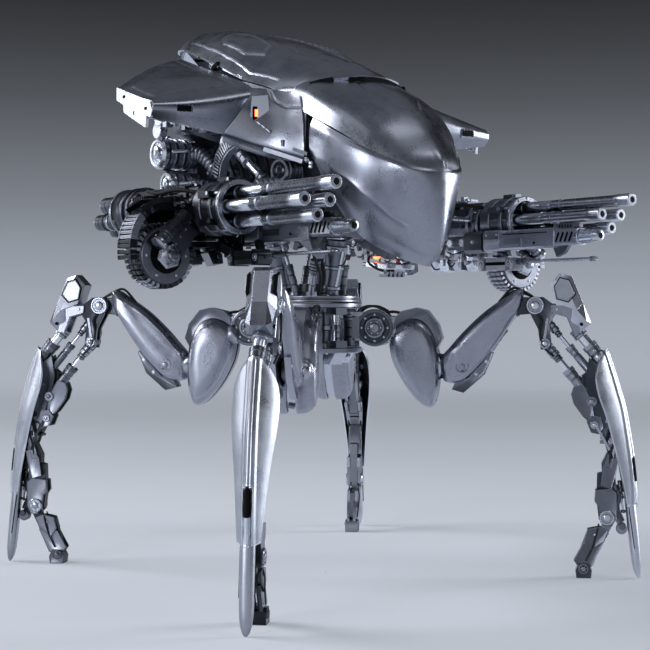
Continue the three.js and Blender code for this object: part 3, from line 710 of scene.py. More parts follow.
def knee_rods(leg, place):
    x, z = KNEE
    rods = Kit(place, F)
    ear = [(x - 6, z + 9), (x + 9, z + 10), (289, 317), (289, 309), (281, 296), (284, 268), (271, 266),
           (268, 290), (x - 8, z - 6)]
    for s in (-1, 1):
        rods.plate(ear, s * 6.2, s * 10.6, inset=0.9)
        rods.hub((x, s * 10.2, z), (0, s, 0), 10.4, 5.6, m=C, cap=G)
        rods.hub((276, s * 10.4, 273.6), (0, s, 0), 6.2, 3.4, m=C, cap=G)
        rods.beam((279, s * 8.4, 303), (275, s * 8.4, 276), 3, 5.5, m=G, up=(0, 1, 0))
        rods.tube([(x + 2, s * 12, z - 9), (272, s * 13, 300), (270, s * 12, 284), (276, s * 11, 268),
                   (286, s * 8, 258)], 1.3)
    rods.drum((276, -10.4, 273.6), (276, 10.4, 273.6), 6, 2)
    rods.drum((276.5, -8, 302.5), (276.5, 8, 302.5), 4.4, 1)
    for start, r in ((MAIN_ROD, 3.6), (THIN_ROD, 2.4)):
        rods.drum(on_slide(start, 2), on_slide(start, 20), r + 2.6, 2, m=G)
        rods.drum(on_slide(start, 20), on_slide(start, 27), r + 1.4, 1)
        rods.rod(on_slide(start, 20), on_slide(start, 60), r, m=C)
    rods.drum((x + 12, -5, z - 1), (x + 24, -5, z - 1), 3.2, 2, m=G)
    rods.make(f"knee_rods_{leg}_detail", f"knee_{leg}", [f"knee_rods_{leg}"])


def shin_frame(leg, place):
    kit = Kit(place, F)
    for start, r, bore, a, b in ((MAIN_ROD, 6.8, 4.2, 40, 92), (THIN_ROD, 4.8, 3.0, 42, 86),
                                 (NECK_ROD, 8.4, 6.6, 22, 46)):
        n = b - a
        profile = [(6, bore), (0, bore), (0, r + 0.6), (5, r + 0.6), (5.6, r), (12, r), (12.6, r - 0.8),
                   (14, r - 0.8), (14.6, r), (n - 9, r), (n - 8, r + 0.7), (n - 1, r + 0.7), (n, r)]
        kit.turned(on_slide(start, a), on_slide(start, b), profile, 24, G)
        for s in (-1, 1):
            kit.bolt(on_slide(start, a + 9) + Vector((0, s * r, 0)), (0, s, 0), 0.9)
    for s in (-1, 1):
        kit.plate([(327, 257), (339, 247), (350, 226), (356, 198), (352, 178), (340, 172), (334, 190),
                   (326, 214), (322, 232)],
                  s * 3, s * 8.6, inset=1.0)
        kit.plate([(306, 214), (309, 223), (319, 226), (330, 206), (333, 186), (328, 181), (320, 188),
                   (309, 203)], s * 6, s * 9.4, m=G, inset=1.0)
        kit.plate([(324, 182), (330, 190), (340, 188), (343, 176), (338, 168), (329, 170)], s * 7.5,
                  s * 11, m=G, inset=1.0)
        kit.hub((333, s * 10.6, 179), (0, s, 0), 4.6, 2, m=C, cap=G)
        kit.hub((330, s * 9, 206), (0, s, 0), 6, 2.6, m=G)
        kit.plate([(352, 142), (343, 130), (340, 108), (352, 104), (357, 120), (360, 138)], s * 4,
                  s * 8.5, m=G, inset=1.0)
        kit.plate([(334, 103), (333, 90), (337, 84), (339.5, 66), (345, 61), (353, 61), (358, 70),
                   (358, 100), (352, 105)], s * 5.2, s * 9.6, m=G, inset=1.1)
        kit.hub((ANKLE[0], s * 9.4, ANKLE[1]), (0, s, 0), 8.6, 3.4, m=C, cap=G)
        kit.tube([(350, s * 8, 196), (358, s * 8, 170), (352, s * 8.5, 150), (350, s * 7, 134)], 1.2)
        kit.tube([(346, s * 5, 196), (352, s * 9, 180), (347, s * 9, 158), (353, s * 7, 140)], 1.6,
                 ribs=0.3)
        kit.bolt((350, s * 6.8, 124), (0, s, 0), 1.3)
    kit.fins((349, 0, 200), (-0.4, 0, -5.2), 9, (13, 13, 3.2), m=F)
    kit.plate([(345, 190), (358, 196), (362, 150), (357, 118), (347, 118), (353, 148)], -4, 4, m=F)
    for outline, w in (([(318, 236), (338, 250), (352, 226), (358, 180), (352, 150), (342, 160), (336, 178),
                         (322, 206)], 5.4),
                       ([(338, 176), (356, 184), (360, 150), (355, 116), (342, 112), (341, 134),
                         (349, 150)], 6.6),
                       ([(336, 122), (356, 128), (359, 96), (352, 66), (338, 68), (335, 92)], 5.0)):
        kit.plate(outline, -w, w, m=F, inset=1.2)
    for s in (-1, 1):
        kit.plate([(320, 216), (332, 236), (344, 234), (350, 206), (345, 176), (336, 178),
                   (332, 200)], s * 5, s * 7.6, m=G, inset=1.2)
        kit.plate([(342, 172), (352, 176), (357, 150), (352, 128), (344, 130), (350, 150)], s * 6,
                  s * 8.4, m=G, inset=1.0)
        kit.hub((349, s * 8, 160), (0, s, 0), 4.4, 2, m=C, cap=G)
        kit.hub((340, s * 7.4, 222), (0, s, 0), 5, 2.4, m=G)
        kit.beam((336, s * 10, 176), (350, s * 8, 150), 3, 5, m=G, up=(0, 1, 0))
    kit.piston((362, 0, 112), (366, 0, 78), 2.6)
    kit.tube([(356, 0, 108), (361, 0, 96), (358, 0, 82), (364, 0, 66)], 3.4, m=G, ribs=0.35, pitch=1.8)
    kit.drum((364, -5, 58), (364, 5, 58), 6.4, 2, m=G, sides=22)
    kit.drum((365, -7, 61), (365, 7, 61), 3.8, 1, m=F)
    kit.beam((357, 0, 74), (364, 0, 60), 6, 5, m=F, up=(0, 1, 0))
    kit.make(f"shin_frame_{leg}_detail", f"shin_{leg}", [f"shin_frame_{leg}"])


def shin_blade(leg, place):
    stations = ((347.5, 341, 268, 262, 9), (351, 338, 258, 252, 16.5), (357, 335, 240, 236, 22.5),
                (363, 338, 220, 216, 24), (369.5, 346, 196, 192, 22.5), (375, 355, 164, 160, 18.5),
                (379.5, 362, 132, 130, 15.5), (382, 367, 104, 106, 13.5), (382, 370, 84, 88, 12))
    net = []
    for ridge, back, ridge_z, back_z, w in stations:
        row = []
        for k in range(-5, 6):
            s = k / 5
            sweep = 0.86 * abs(s) ** 1.12 + 0.14 * abs(s) ** 4
            row.append((ridge + (back - ridge) * sweep, s * w, ridge_z + (back_z - ridge_z) * sweep))
        net.append(row)

    def relief(p):
        y = np.abs(p[..., 1])
        rib = 0.9 * step(6.6 - y, 1.6) + groove(y - 2.6, 0.4, 0.6)
        return rib * step(p[..., 2] - 84, 4) * step(266 - p[..., 2], 4)

    def slot(p):
        """The narrow slot with a round top."""
        top, half = 138, 4
        over = np.clip(p[..., 2] - top, 0, 9)
        reach = np.sqrt(np.clip(half**2 - over**2, 0, None))
        return (np.abs(p[..., 1]) < reach) & (p[..., 2] > 60) & (p[..., 2] < 143)

    # The upper part of the sunk slot is painted black as shade.
    shell(f"shin_blade_{leg}_armour", f"shin_{leg}", net, (160, 96), 2.4,
          lambda p: relief(p) - 2.6 * slot(p), (SHADOW, lambda p: slot(p) & (p[..., 2] > 112)), place, B,
          replaces=[f"shin_blade_{leg}"])


def shin_shade_liner(leg, place):
    # Painted shade: a black core that fills the inside of the blade.
    liner = Kit(place, SHADOW)
    outline = ((341, 262, 4), (348.5, 240, 8), (356, 196, 11), (363, 160, 9), (372, 110, 5), (366, 100, 4),
               (360, 140, 7), (348, 200, 9), (342, 236, 7))
    liner.hull([(x, s * w, z) for s in (-1, 1) for x, z, w in outline])
    for s in (-1, 1):
        for k in range(4):
            liner.box((8, 2.5, 6), (341 + 4.4 * k, s * (11 - k), 232 - 24 * k),
                      Matrix.Rotation(0.2, 4, "Y"), G)
    liner.make(f"shin_shade_liner_{leg}", f"shin_{leg}", [f"shin_blade_{leg}"])


def spike(leg, place):
    point = Kit(place, B)
    rings = []
    for z, x, deep, w in ((118, 369, 4, 5.4), (108, 371, 5, 6.8), (86, 374, 6.4, 7.7),
                          (56, 377.4, 6.4, 7.7), (30, 380, 6, 7.5), (18, 381.2, 5.6, 6.9),
                          (9, 382.2, 4.4, 5.6), (3.5, 383.2, 2.8, 3.8), (0.8, 384, 1.2, 1.8),
                          (0.1, 384.2, 0.3, 0.5)):
        rings.append([point.bm.verts.new((x + deep * math.copysign(abs(c) ** 0.9, c),
                                          w * math.copysign(abs(s) ** 0.9, s), z))
                      for c, s in around(24)])
    point.skin(rings, B, True)
    # Painted shade: black grooves down both sides of the point.
    for s in (-1, 1):
        point.beam((372, s * 7.4, 84), (378.6, s * 7.4, 36), 1.0, 2.0, m=SHADOW, up=(0, 1, 0))
        point.bolt((372, s * 7, 92), (0, s, 0), 1.2)
    point.make(f"spike_{leg}_point", f"shin_{leg}", [f"spike_{leg}"], bevel=0.3, smooth=34)


def foot(leg, place):
    claw = Kit(place, G)
    for s in (-1, 1):
        claw.plate([(339, 60), (325, 57), (321, 43), (328, 33), (343, 43), (348, 56)], s * 3.4, s * 7.6,
                   m=G, inset=1.2)
        claw.plate([(334, 46), (320, 40), (309, 20), (317, 9), (331, 14), (344, 42)], s * 2.6, s * 6, m=G,
                   inset=1.2)
        claw.hub((320.3, s * 6.2, 11), (0, s, 0), 6, 4.4, m=G)
        claw.bolt((333, s * 6.6, 51), (0, s, 0), 1.4)
        claw.tube([(338, s * 6, 62), (335, s * 8.4, 50), (330, s * 7.8, 34), (323, s * 7, 20)], 0.9)
    claw.plate([(341, 60), (343, 76), (352, 76), (352.5, 60), (347, 49)], -4, 4, m=F)
    claw.drum((ANKLE[0], -4.4, ANKLE[1]), (ANKLE[0], 4.4, ANKLE[1]), 6.4, 1)
    claw.plate([(312, 0.2), (329, 0.2), (330, 9), (326, 17), (315, 17), (311, 9)], -8.8, 8.8, m=F,
               inset=1.2)
    # Painted shade: a thin black pad under the claw.
    claw.box((13, 15, 1.2), (320.5, 0, 0.7), m=SHADOW)
    claw.plate([(340, 58), (324, 54), (312, 22), (326, 14), (341, 40), (346, 54)], -3, 3, m=F)
    claw.piston((347, 0, 52), (331, 0, 22), 2.4)
    claw.make(f"claw_{leg}_detail", f"foot_{leg}", [f"claw_{leg}"])


for leg_name, leg_azimuth in LEGS.items():
    leg_frame = leg_place(leg_azimuth)
    for part in (hip_yoke, hip_arm, hip_pod, thigh, knee_guard, knee_rods, shin_frame, shin_blade,
                 shin_shade_liner, spike, foot):
        part(leg_name, leg_frame)


# ---------- chassis, engines, waist and pelvis ----------
def chassis():
    core = Kit(BODY, F)
    for half in ([(70, -60, 500), (62, -70, 560), (66, 188, 556), (72, 148, 610), (56, 203, 632),
                  (38, 60, 620)],
                 [(50, -95, 397), (54, 75, 403), (60, -105, 470), (68, 110, 530), (68, -60, 530)],
                 [(26, -192, 388), (42, -90, 399), (36, -187, 462), (56, -90, 494)],
                 [(104, -28, 548), (84, -50, 530), (80, -54, 480), (112, -28, 508), (92, 38, 520),
                  (88, 38, 566)]):
        core.hull([(s * x, y, z) for s in (-1, 1) for x, y, z in half])
    for s in (-1, 1):
        core.turned((s * 40, -6, 420), (s * 92, -6, 420), [(0, 22), (22, 21), (23, 19), (27, 19), (28, 21),
                                                           (40, 18), (52, 17)], 36, G)
        for c, d in around(8):
            core.bolt((s * 91.5, -6 + 14 * c, 420 + 14 * d), (s, 0, 0), 1.5)
    core.make("chassis_core", "turret", replaces=["chassis"], bevel=1.2)


def back_vents():
    back = Kit(BODY, G)
    slope = (110 - 75) / (530 - 403)
    tilt = Matrix.Rotation(-math.atan(slope), 4, "X")
    # Painted shade: black strips in the gaps between the louvres.
    for k in range(7):
        z = 424 + 14 * k
        y = 75 + slope * (z - 403)
        back.box((80, 5, 7), (0, y + 1.6, z), tilt)
        back.box((74, 3, 4), (0, y + 0.4, z + 7), tilt, SHADOW)
    for s in (-1, 1):
        back.beam((s * 46, 79, 412), (s * 52, 110, 524), 8, 7, m=F)
        for k in range(5):
            z = 418 + 24 * k
            back.bolt((s * (46.5 + 1.2 * k), 78.8 + slope * (z - 403), z), (0, 1, -slope), 1.8)
    back.piston((-30, 84, 412), (30, 84, 412), 4.4, m=F)
    back.hub((0, 78.5, 412), (0, 1, -slope), 9, 6, m=F)
    back.make("chassis_back_vents", "turret")


def flank(name, s):
    """The machinery on one side of the chassis."""
    kit = Kit(BODY, F)
    kit.drum((s * 70, -58, 471), (s * 90, -63, 471), 16, 2, m=F)
    kit.turned((s * 86, -62, 471), (s * 96, -64.5, 471), [(0, 14), (6, 14), (8, 12.6), (8, 10),
                                                          (5, 9.4), (5, 8)], 40, G)
    kit.turned((s * 90.6, -63, 471), (s * 94, -64, 471), [(0, 9), (1.4, 7.4), (2.4, 4), (2.7, 0.2)], 32,
               L)
    kit.drum((s * 98, 22, 507), (s * 97, -8, 484), 8.6, 3, 1.2, G)
    kit.rod((s * 97, -8, 484), (s * 95, -34, 465), 5.6, m=C)
    kit.drum((s * 95, -28, 469), (s * 95, -38, 462), 7.4, 1, m=F)
    line = smooth_line([(s * 106, 4, 512), (s * 109, 20, 504), (s * 110, 34, 490), (s * 109, 42, 472)],
                       3.6)
    for k, (at, axis) in enumerate(line):
        side = Vector((s, 0, 0))
        turn = Matrix((side, axis.cross(side), axis)).transposed().to_4x4()
        kit.box((10, 13, 1.8), at, turn, A)
        # Painted shade: a black strip behind each link.
        kit.box((5, 15, 4.2), at - side * 2, turn, SHADOW)
        for edge in (-1, 1):
            kit.box((9, 2.2, 4.2), at + axis.cross(side) * edge * 8 - side, turn, G)
    kit.tube([(s * 124, 92, 501), (s * 112, 74, 498), (s * 104, 60, 484), (s * 92, 54, 470)], 9, G, 20,
             0.1, 6)
    kit.tube([(s * 126, 88, 466), (s * 108, 66, 460), (s * 84, 50, 446)], 7, G, 20, 0.1, 6)
    kit.piston((s * 76, 88, 440), (s * 86, 10, 446), 5.5, m=G)
    kit.piston((s * 72, 60, 532), (s * 108, 40, 548), 5, m=G)
    kit.beam((s * 66, -88, 404), (s * 74, 70, 412), 14, 12, m=G)
    kit.beam((s * 70, -70, 452), (s * 80, 96, 462), 9, 12, m=G)
    kit.beam((s * 64, -92, 400), (s * 72, -70, 456), 12, 8, m=F)
    for y in (-60, 36, 62):
        kit.beam((s * 72, y, 404), (s * 76, y + 8, 458), 8, 6, m=F)
        kit.bolt((s * 78, y + 4, 430), (s, 0, 0), 2)
    for k in range(6):
        kit.hub((s * 68, -50 + 26 * k, 396), (0, 0, -1), 6, 4, m=G)
    for k in range(7):
        kit.tube([(s * 62, -40 + 20 * k, 540), (s * 88, -34 + 20 * k, 536), (s * 92, -26 + 20 * k, 512),
                  (s * 76, -18 + 18 * k, 470)], (2.4, 1.6, 3.0)[k % 3], ribs=(0.2, 0, 0.15)[k % 3])
    kit.clutter((s * 66, 40, 404), (s * 84, 150, 540), 90, 1.15, out=(s, 0, 0))
    kit.clutter((s * 66, -96, 404), (s * 84, -26, 462), 60, 0.95, out=(s, 0, 0))
    kit.clutter((s * 80, -30, 496), (s * 104, 60, 540), 50, 1.0, out=(s, 0, 0))
    kit.clutter((s * 30, -80, 388), (s * 62, 80, 398), 26, 0.9, out=(0, 0, -1))
    kit.make(f"chassis_{name}_machinery", "turret")


def shoulder(name, s):
    arm = Kit(BODY, G)
    arm.hull([(s * (x + a), y + b, z) for a in (-3.5, 3.5) for x, y, b, z in
              ((100, -112, 9, 424), (100, -112, -9, 424), (98, -116, -11, 404), (84, -130, 9, 374),
               (84, -132, -8, 376), (82, -130, 2, 369), (98, -104, 9, 400))], F)
    # Painted shade: a black block under the arm.
    arm.box((9, 6, 7), (s * 92, -124, 394), m=SHADOW)
    arm.hub((s * 101, -114, 416), (s, -0.4, 0), 7, 5, m=G)
    arm.beam((s * 72, -84, 432), (s * 100, -108, 420), 10, 10, m=F)
    arm.tube([(s * 84, -72, 440), (s * 100, -80, 446), (s * 124, -56, 448), (s * 136, -34, 434)], 4.2,
             F, 14, 0.12, 5)
    arm.tube([(s * 90, 34, 450), (s * 112, 28, 456), (s * 136, 12, 448), (s * 142, 0, 434)], 3.4, R, 12,
             0.2)
    arm.drum((s * 104, -78, 452), (s * 128, -70, 448), 11, 3, 1.2, G)
    arm.drum((s * 108, -84, 428), (s * 132, -84, 428), 9, 2, 1.2, G)
    arm.turned((s * 132, -84, 428), (s * 136, -84, 428), [(0, 9), (2, 8), (4, 5)], 28, C)
    arm.clutter((s * 86, -96, 408), (s * 128, -40, 446), 44, 0.85)
    arm.make(f"shoulder_{name}_machinery", "turret")


def chin_cluster():
    kit = Kit(BODY, F)
    kit.beam((-26, -138, 388), (-20, -176, 372), 14, 8, m=F)
    kit.hull([(x, y, z) for x in (-34, 6) for y, z in ((-150, 366), (-186, 362), (-184, 357), (-148, 361))],
             C)
    kit.box((30, 10, 6), (-14, -170, 355), m=G)
    kit.fins((-26, -170, 352), (6, 0, 0), 5, (3, 12, 6), m=F)
    for x in (-30, -8):
        kit.rod((x, -140, 364), (x, -192, 361), 2.2, m=C)
        kit.drum((x, -184, 361.4), (x, -194, 361), 3.4, 1, m=G)
    kit.tube([(-30, -150, 372), (-38, -160, 364), (-30, -172, 356), (-16, -176, 356)], 1.4)
    kit.piston((-4, -120, 392), (0, -166, 366), 3.4, m=G)
    for x in (10, 24):
        kit.hull([(x + a, y, z) for a in (-5, 5) for y, z in ((-140, 376), (-160, 372), (-164, 356),
                (-152, 352))], A)
        kit.drum((x - 6, -150, 372), (x + 6, -150, 372), 4, 1, m=C)
    kit.clutter((-34, -150, 372), (30, -100, 392), 46, 0.8, out=(0, 0, -1))
    kit.turned((-20, -150, 372), (-20, -150, 388), [(0, 5.4), (3, 5.4), (4, 4), (16, 4)], 24, F)
    kit.make("chin_cluster", "turret")
    lamp = Kit(BODY, RED)
    lamp.turned((-20, -150, 372.4), (-20, -150, 368), [(0, 4.4), (1.4, 4.2), (2.6, 3.2), (3.4, 0.4)], 24,
                RED)
    lamp.turned((-20, -154.6, 377), (-20, -158, 377), [(0, 3.4), (1.6, 3.0), (2.6, 1.8), (3, 0.3)], 24, RED)
    lamp.make("nose_lamp_bulb", "turret", replaces=["nose_lamp"])


def engine(name, s):
    kit = Kit(BODY, G)
    for y, z, r, reach in ((98, 500, 18.4, 162), (92, 463, 15.4, 153)):
        p, q, n = (s * 74, y, z), (s * reach, y, z), reach - 74
        profile = [(0, r * 0.72), (n - 50, r * 0.72), (n - 49, r * 0.9), (n - 43, r * 0.9)]
        for k in range(3):
            a = n - 42 + 11 * k
            profile += [(a, r * 0.84), (a + 1, r), (a + 8, r), (a + 9, r * 0.84)]
        kit.turned(p, q, profile + [(n - 8, r * 0.6)], 40, G)
        for a in (n - 41, n - 30, n - 19):
            kit.turned(p, q, [(a, r + 0.5), (a + 1.4, r + 0.5)], 40, C)
        kit.turned(p, q, [(n - 9, r * 1.03), (n - 4, r * 1.03), (n - 1, r * 0.88), (n - 1.4, r * 0.72),
                          (n - 2.6, r * 0.68), (n - 2.6, r * 0.5), (n + 1, r * 0.44), (n + 2.4, r * 0.3),
                          (n + 2.6, r * 0.02)], 40, C)
        for k in range(6):
            t = math.pi * k / 3
            a, b = math.cos(t), math.sin(t)
            kit.beam((s * (reach - 3), y + a * r * 0.36, z + b * r * 0.36),
                     (s * (reach - 4.5), y + a * r * 0.92, z + b * r * 0.92), 3.4, 2.4, m=C, up=(1, 0, 0))
            kit.bolt((s * (reach - 3.6), y + r * 0.68 * math.cos(t + 0.52),
                      z + r * 0.68 * math.sin(t + 0.52)), (s, 0, 0), 1.2)
        kit.tube([(s * (reach - 52), y - r, z), (s * (reach - 30), y - r - 7, z + 2),
                  (s * (reach - 12), y - r - 1, z + 1)], 2, C)
        kit.tube([(s * (reach - 50), y, z - r), (s * (reach - 28), y - 3, z - r - 3),
                  (s * (reach - 10), y, z - r)], 1.6)
    kit.beam((s * 104, 90, 452), (s * 104, 100, 518), 14, 14, m=F)
    links = [(156, 78, 552), (162, 84, 540), (160, 92, 526)]
    for (xa, ya, za), (xb, yb, zb) in zip(links, links[1:]):
        kit.beam((s * xa, ya, za), (s * xb, yb, zb), 8, 14, m=A, up=(0, 1, 0))
    for x0, y0, z0 in links:
        kit.drum((s * (x0 - 6), y0, z0), (s * (x0 + 4.5), y0, z0), 9.6, 2, m=C)
    kit.beam((s * 162, 82, 545), (s * 150, 60, 560), 12, 8, m=F)
    kit.hull([(s * x, y, z) for x, y, z in ((84, 56, 508), (84, 112, 508), (128, 66, 522), (132, 104, 524),
                                            (146, 78, 548),
                                            (146, 100, 556), (100, 50, 552), (100, 112, 586))], F)
    kit.turned((s * 98, 62, 532), (s * 144, 76, 538), [(0, 13), (8, 13), (9, 11), (14, 11), (15, 13),
                                                       (24, 13), (25, 11),
                                                       (30, 11), (31, 12.5), (44, 12.5)], 36, G)
    kit.drum((s * 132, 60, 548), (s * 160, 84, 536), 7, 2, m=G)
    kit.beam((s * 84, 94, 448), (s * 84, 98, 522), 12, 34, m=F, up=(0, 1, 0))
    kit.piston((s * 120, 112, 478), (s * 140, 110, 520), 4, m=G)
    kit.clutter((s * 84, 84, 452), (s * 120, 124, 516), 34, 0.9, out=(0, 1, 0))
    kit.make(f"engine_{name}_detail", "turret", replaces=[f"engine_{name}"])


def waist():
    kit = Kit(BODY, F)
    kit.turned((0, 0, 321.9), (0, 0, 330), [(0, 53), (0.6, 55), (2.4, 55), (3, 53.6), (4.6, 53.6),
                                            (5.2, 55), (7, 55), (7.8, 53.4), (7.8, 44), (6, 43)], 72, G)
    for c, s in around(24):
        kit.bolt((49 * c, 49 * s, 329.4), (0, 0, 1), 1.5)
    kit.turned((0, 0, 326), (0, 0, 344), [(0, 42), (3, 42), (4, 34), (8, 32), (9, 20), (18, 18)], 48, F)
    for deg in (-90, 30, 150):
        a, b = math.cos(math.radians(deg)), math.sin(math.radians(deg))
        p, q = Vector((34 * a, 34 * b, 327)), Vector((46 * a, 46 * b, 395.6))
        kit.turned(p, q, [(0, 12), (4, 12), (5, 9), (10, 9), (11, 10.5), (14, 10.5), (15, 9.4), (34, 11),
                          (35, 12.4), (38, 12.6), (39, 11.4), (56, 12.6), (57, 14.4), (62, 14.8), (63, 12),
                          (69, 12)], 36, G)
        for k in range(3):
            t = math.radians(deg) + 2.1 * k
            out = Vector((math.cos(t), math.sin(t), 0))
            kit.beam(p + out * 10 + Vector((0, 0, 12)), q + out * 12.4 - Vector((0, 0, 14)), 3, 3, m=C)
        kit.box((16, 16, 7), (31 * a, 31 * b, 331), Matrix.Rotation(math.radians(deg), 4, "Z"), F)
        kit.piston((22 * a - 26 * b, 22 * b + 26 * a, 331), (40 * a - 22 * b, 40 * b + 22 * a, 393), 4.4,
                   m=F)
        kit.tube([(30 * a + 18 * b, 30 * b - 18 * a, 330), (48 * a + 20 * b, 48 * b - 20 * a, 350),
                  (44 * a + 22 * b, 44 * b - 22 * a, 376), (30 * a + 20 * b, 30 * b - 20 * a, 394)], 2.6,
                 ribs=0.2)
    kit.piston((-32, -40, 329), (-41, -66, 394), 4.2, 0.6, m=G)
    kit.drum((-36, -52, 356), (-38, -58, 371), 6.4, 3, 1.2, F)
    kit.beam((-30, -36, 331), (-34, -44, 331), 12, 6, m=G)
    kit.beam((-36, -60, 391), (-42, -70, 391), 12, 8, m=G)
    kit.tube([(-24, -44, 330), (-34, -62, 352), (-46, -66, 374), (-44, -56, 393)], 1.8)
    kit.turned((0, 0, 392), (0, 0, 396), [(0, 52), (3.6, 56)], 6, F)
    kit.make("waist_detail", "turret", replaces=["waist_pylons"])


def pelvis():
    kit = Kit(BODY, F)
    for low in (262, 315):
        kit.turned((0, 0, low), (0, 0, low + 6), [(0, 56), (0.8, 57.6), (5.2, 57.6), (6, 56)], 72, G)
    for c, s in around(20):
        kit.bolt((52 * c, 52 * s, 262), (0, 0, -1), 1.6)
    kit.turned((0, 0, 268), (0, 0, 315), [(0, 27), (5, 27), (7, 22), (15, 22), (17, 25), (30, 25), (32, 22),
                                          (40, 22), (42, 27), (47, 27)],
               40, F)
    kit.turned((0, 0, 247.6), (0, 0, 266), [(0, 11), (2, 12), (7, 15), (8, 18), (12, 24), (13, 30),
                                            (18, 34)], 48, G)
    for a, b in around(6):
        kit.beam((14 * a, 14 * b, 250), (46 * a, 46 * b, 261), 5, 6, m=F)
        kit.bolt((20 * a, 20 * b, 253.5), (0.3 * a, 0.3 * b, -1), 1.4)
    for az in (0, 90, 180, 270):
        a, b = math.cos(math.radians(az)), math.sin(math.radians(az))
        kit.turned((24 * a, 24 * b, 268), (24 * a, 24 * b, 315), [(0, 10), (5, 10), (6, 7), (20, 7),
                (21, 9), (26, 9), (27, 7), (41, 7), (42, 10), (47, 10)], 28, G)
        for z in (272, 311):
            kit.box((20, 16, 8), (47 * a, 47 * b, z), Matrix.Rotation(math.radians(az), 4, "Z"), F)
        kit.piston((38 * a - 8 * b, 38 * b + 8 * a, 271), (38 * a - 8 * b, 38 * b + 8 * a, 313), 3.6, m=G)
        kit.hull([(r * a - w * b, r * b + w * a, z) for w in (-9, 9) for r, z in ((50, 262), (56, 262),
                (44, 248), (30, 250), (34, 262))], A)
    kit.make("pelvis_detail", "pelvis", replaces=["pelvis_hub"])


chassis()
back_vents()
for side_name, side_sign in SIDES.items():
    flank(side_name, side_sign)
    shoulder(side_name, side_sign)
chin_cluster()
for side_name, side_sign in SIDES.items():
    engine(side_name, side_sign)
waist()
pelvis()


# ---------- guns: +X runs outward, -Y forward, the barrels turn on the Y axis ----------
GUN_X, GUN_Z = 203, 420
DRUM_AT = Vector((52, -75, -50))


def gun_place(side):
    return BODY @ Matrix.Translation((side * GUN_X, 0, GUN_Z)) @ Matrix.Diagonal((side, 1, 1, 1))


def octagon(kit, x, z, low, high, centre=(0, 0), cut=0.35, m=None):
    """A square bar along Y with chamfered corners."""
    points = []
    for y in (low, high):
        for a, b in ((1, 1 - cut), (1 - cut, 1)):
            points += [(centre[0] + i * a * x, y, centre[1] + j * b * z) for i in (-1, 1) for j in (-1, 1)]
    kit.hull(points, m)


def ringed(kit, low, high, radius, bore, centre=(0, 0), m=None):
    """A bored collar along Y between two places."""
    p, q = (centre[0], low, centre[1]), (centre[0], high, centre[1])
    long = high - low
    kit.turned(p, q, [(0, bore), (0, radius - 0.8), (0.8, radius), (long - 0.8, radius),
                      (long, radius - 0.8), (long, bore)],
               40, m, ring=True)


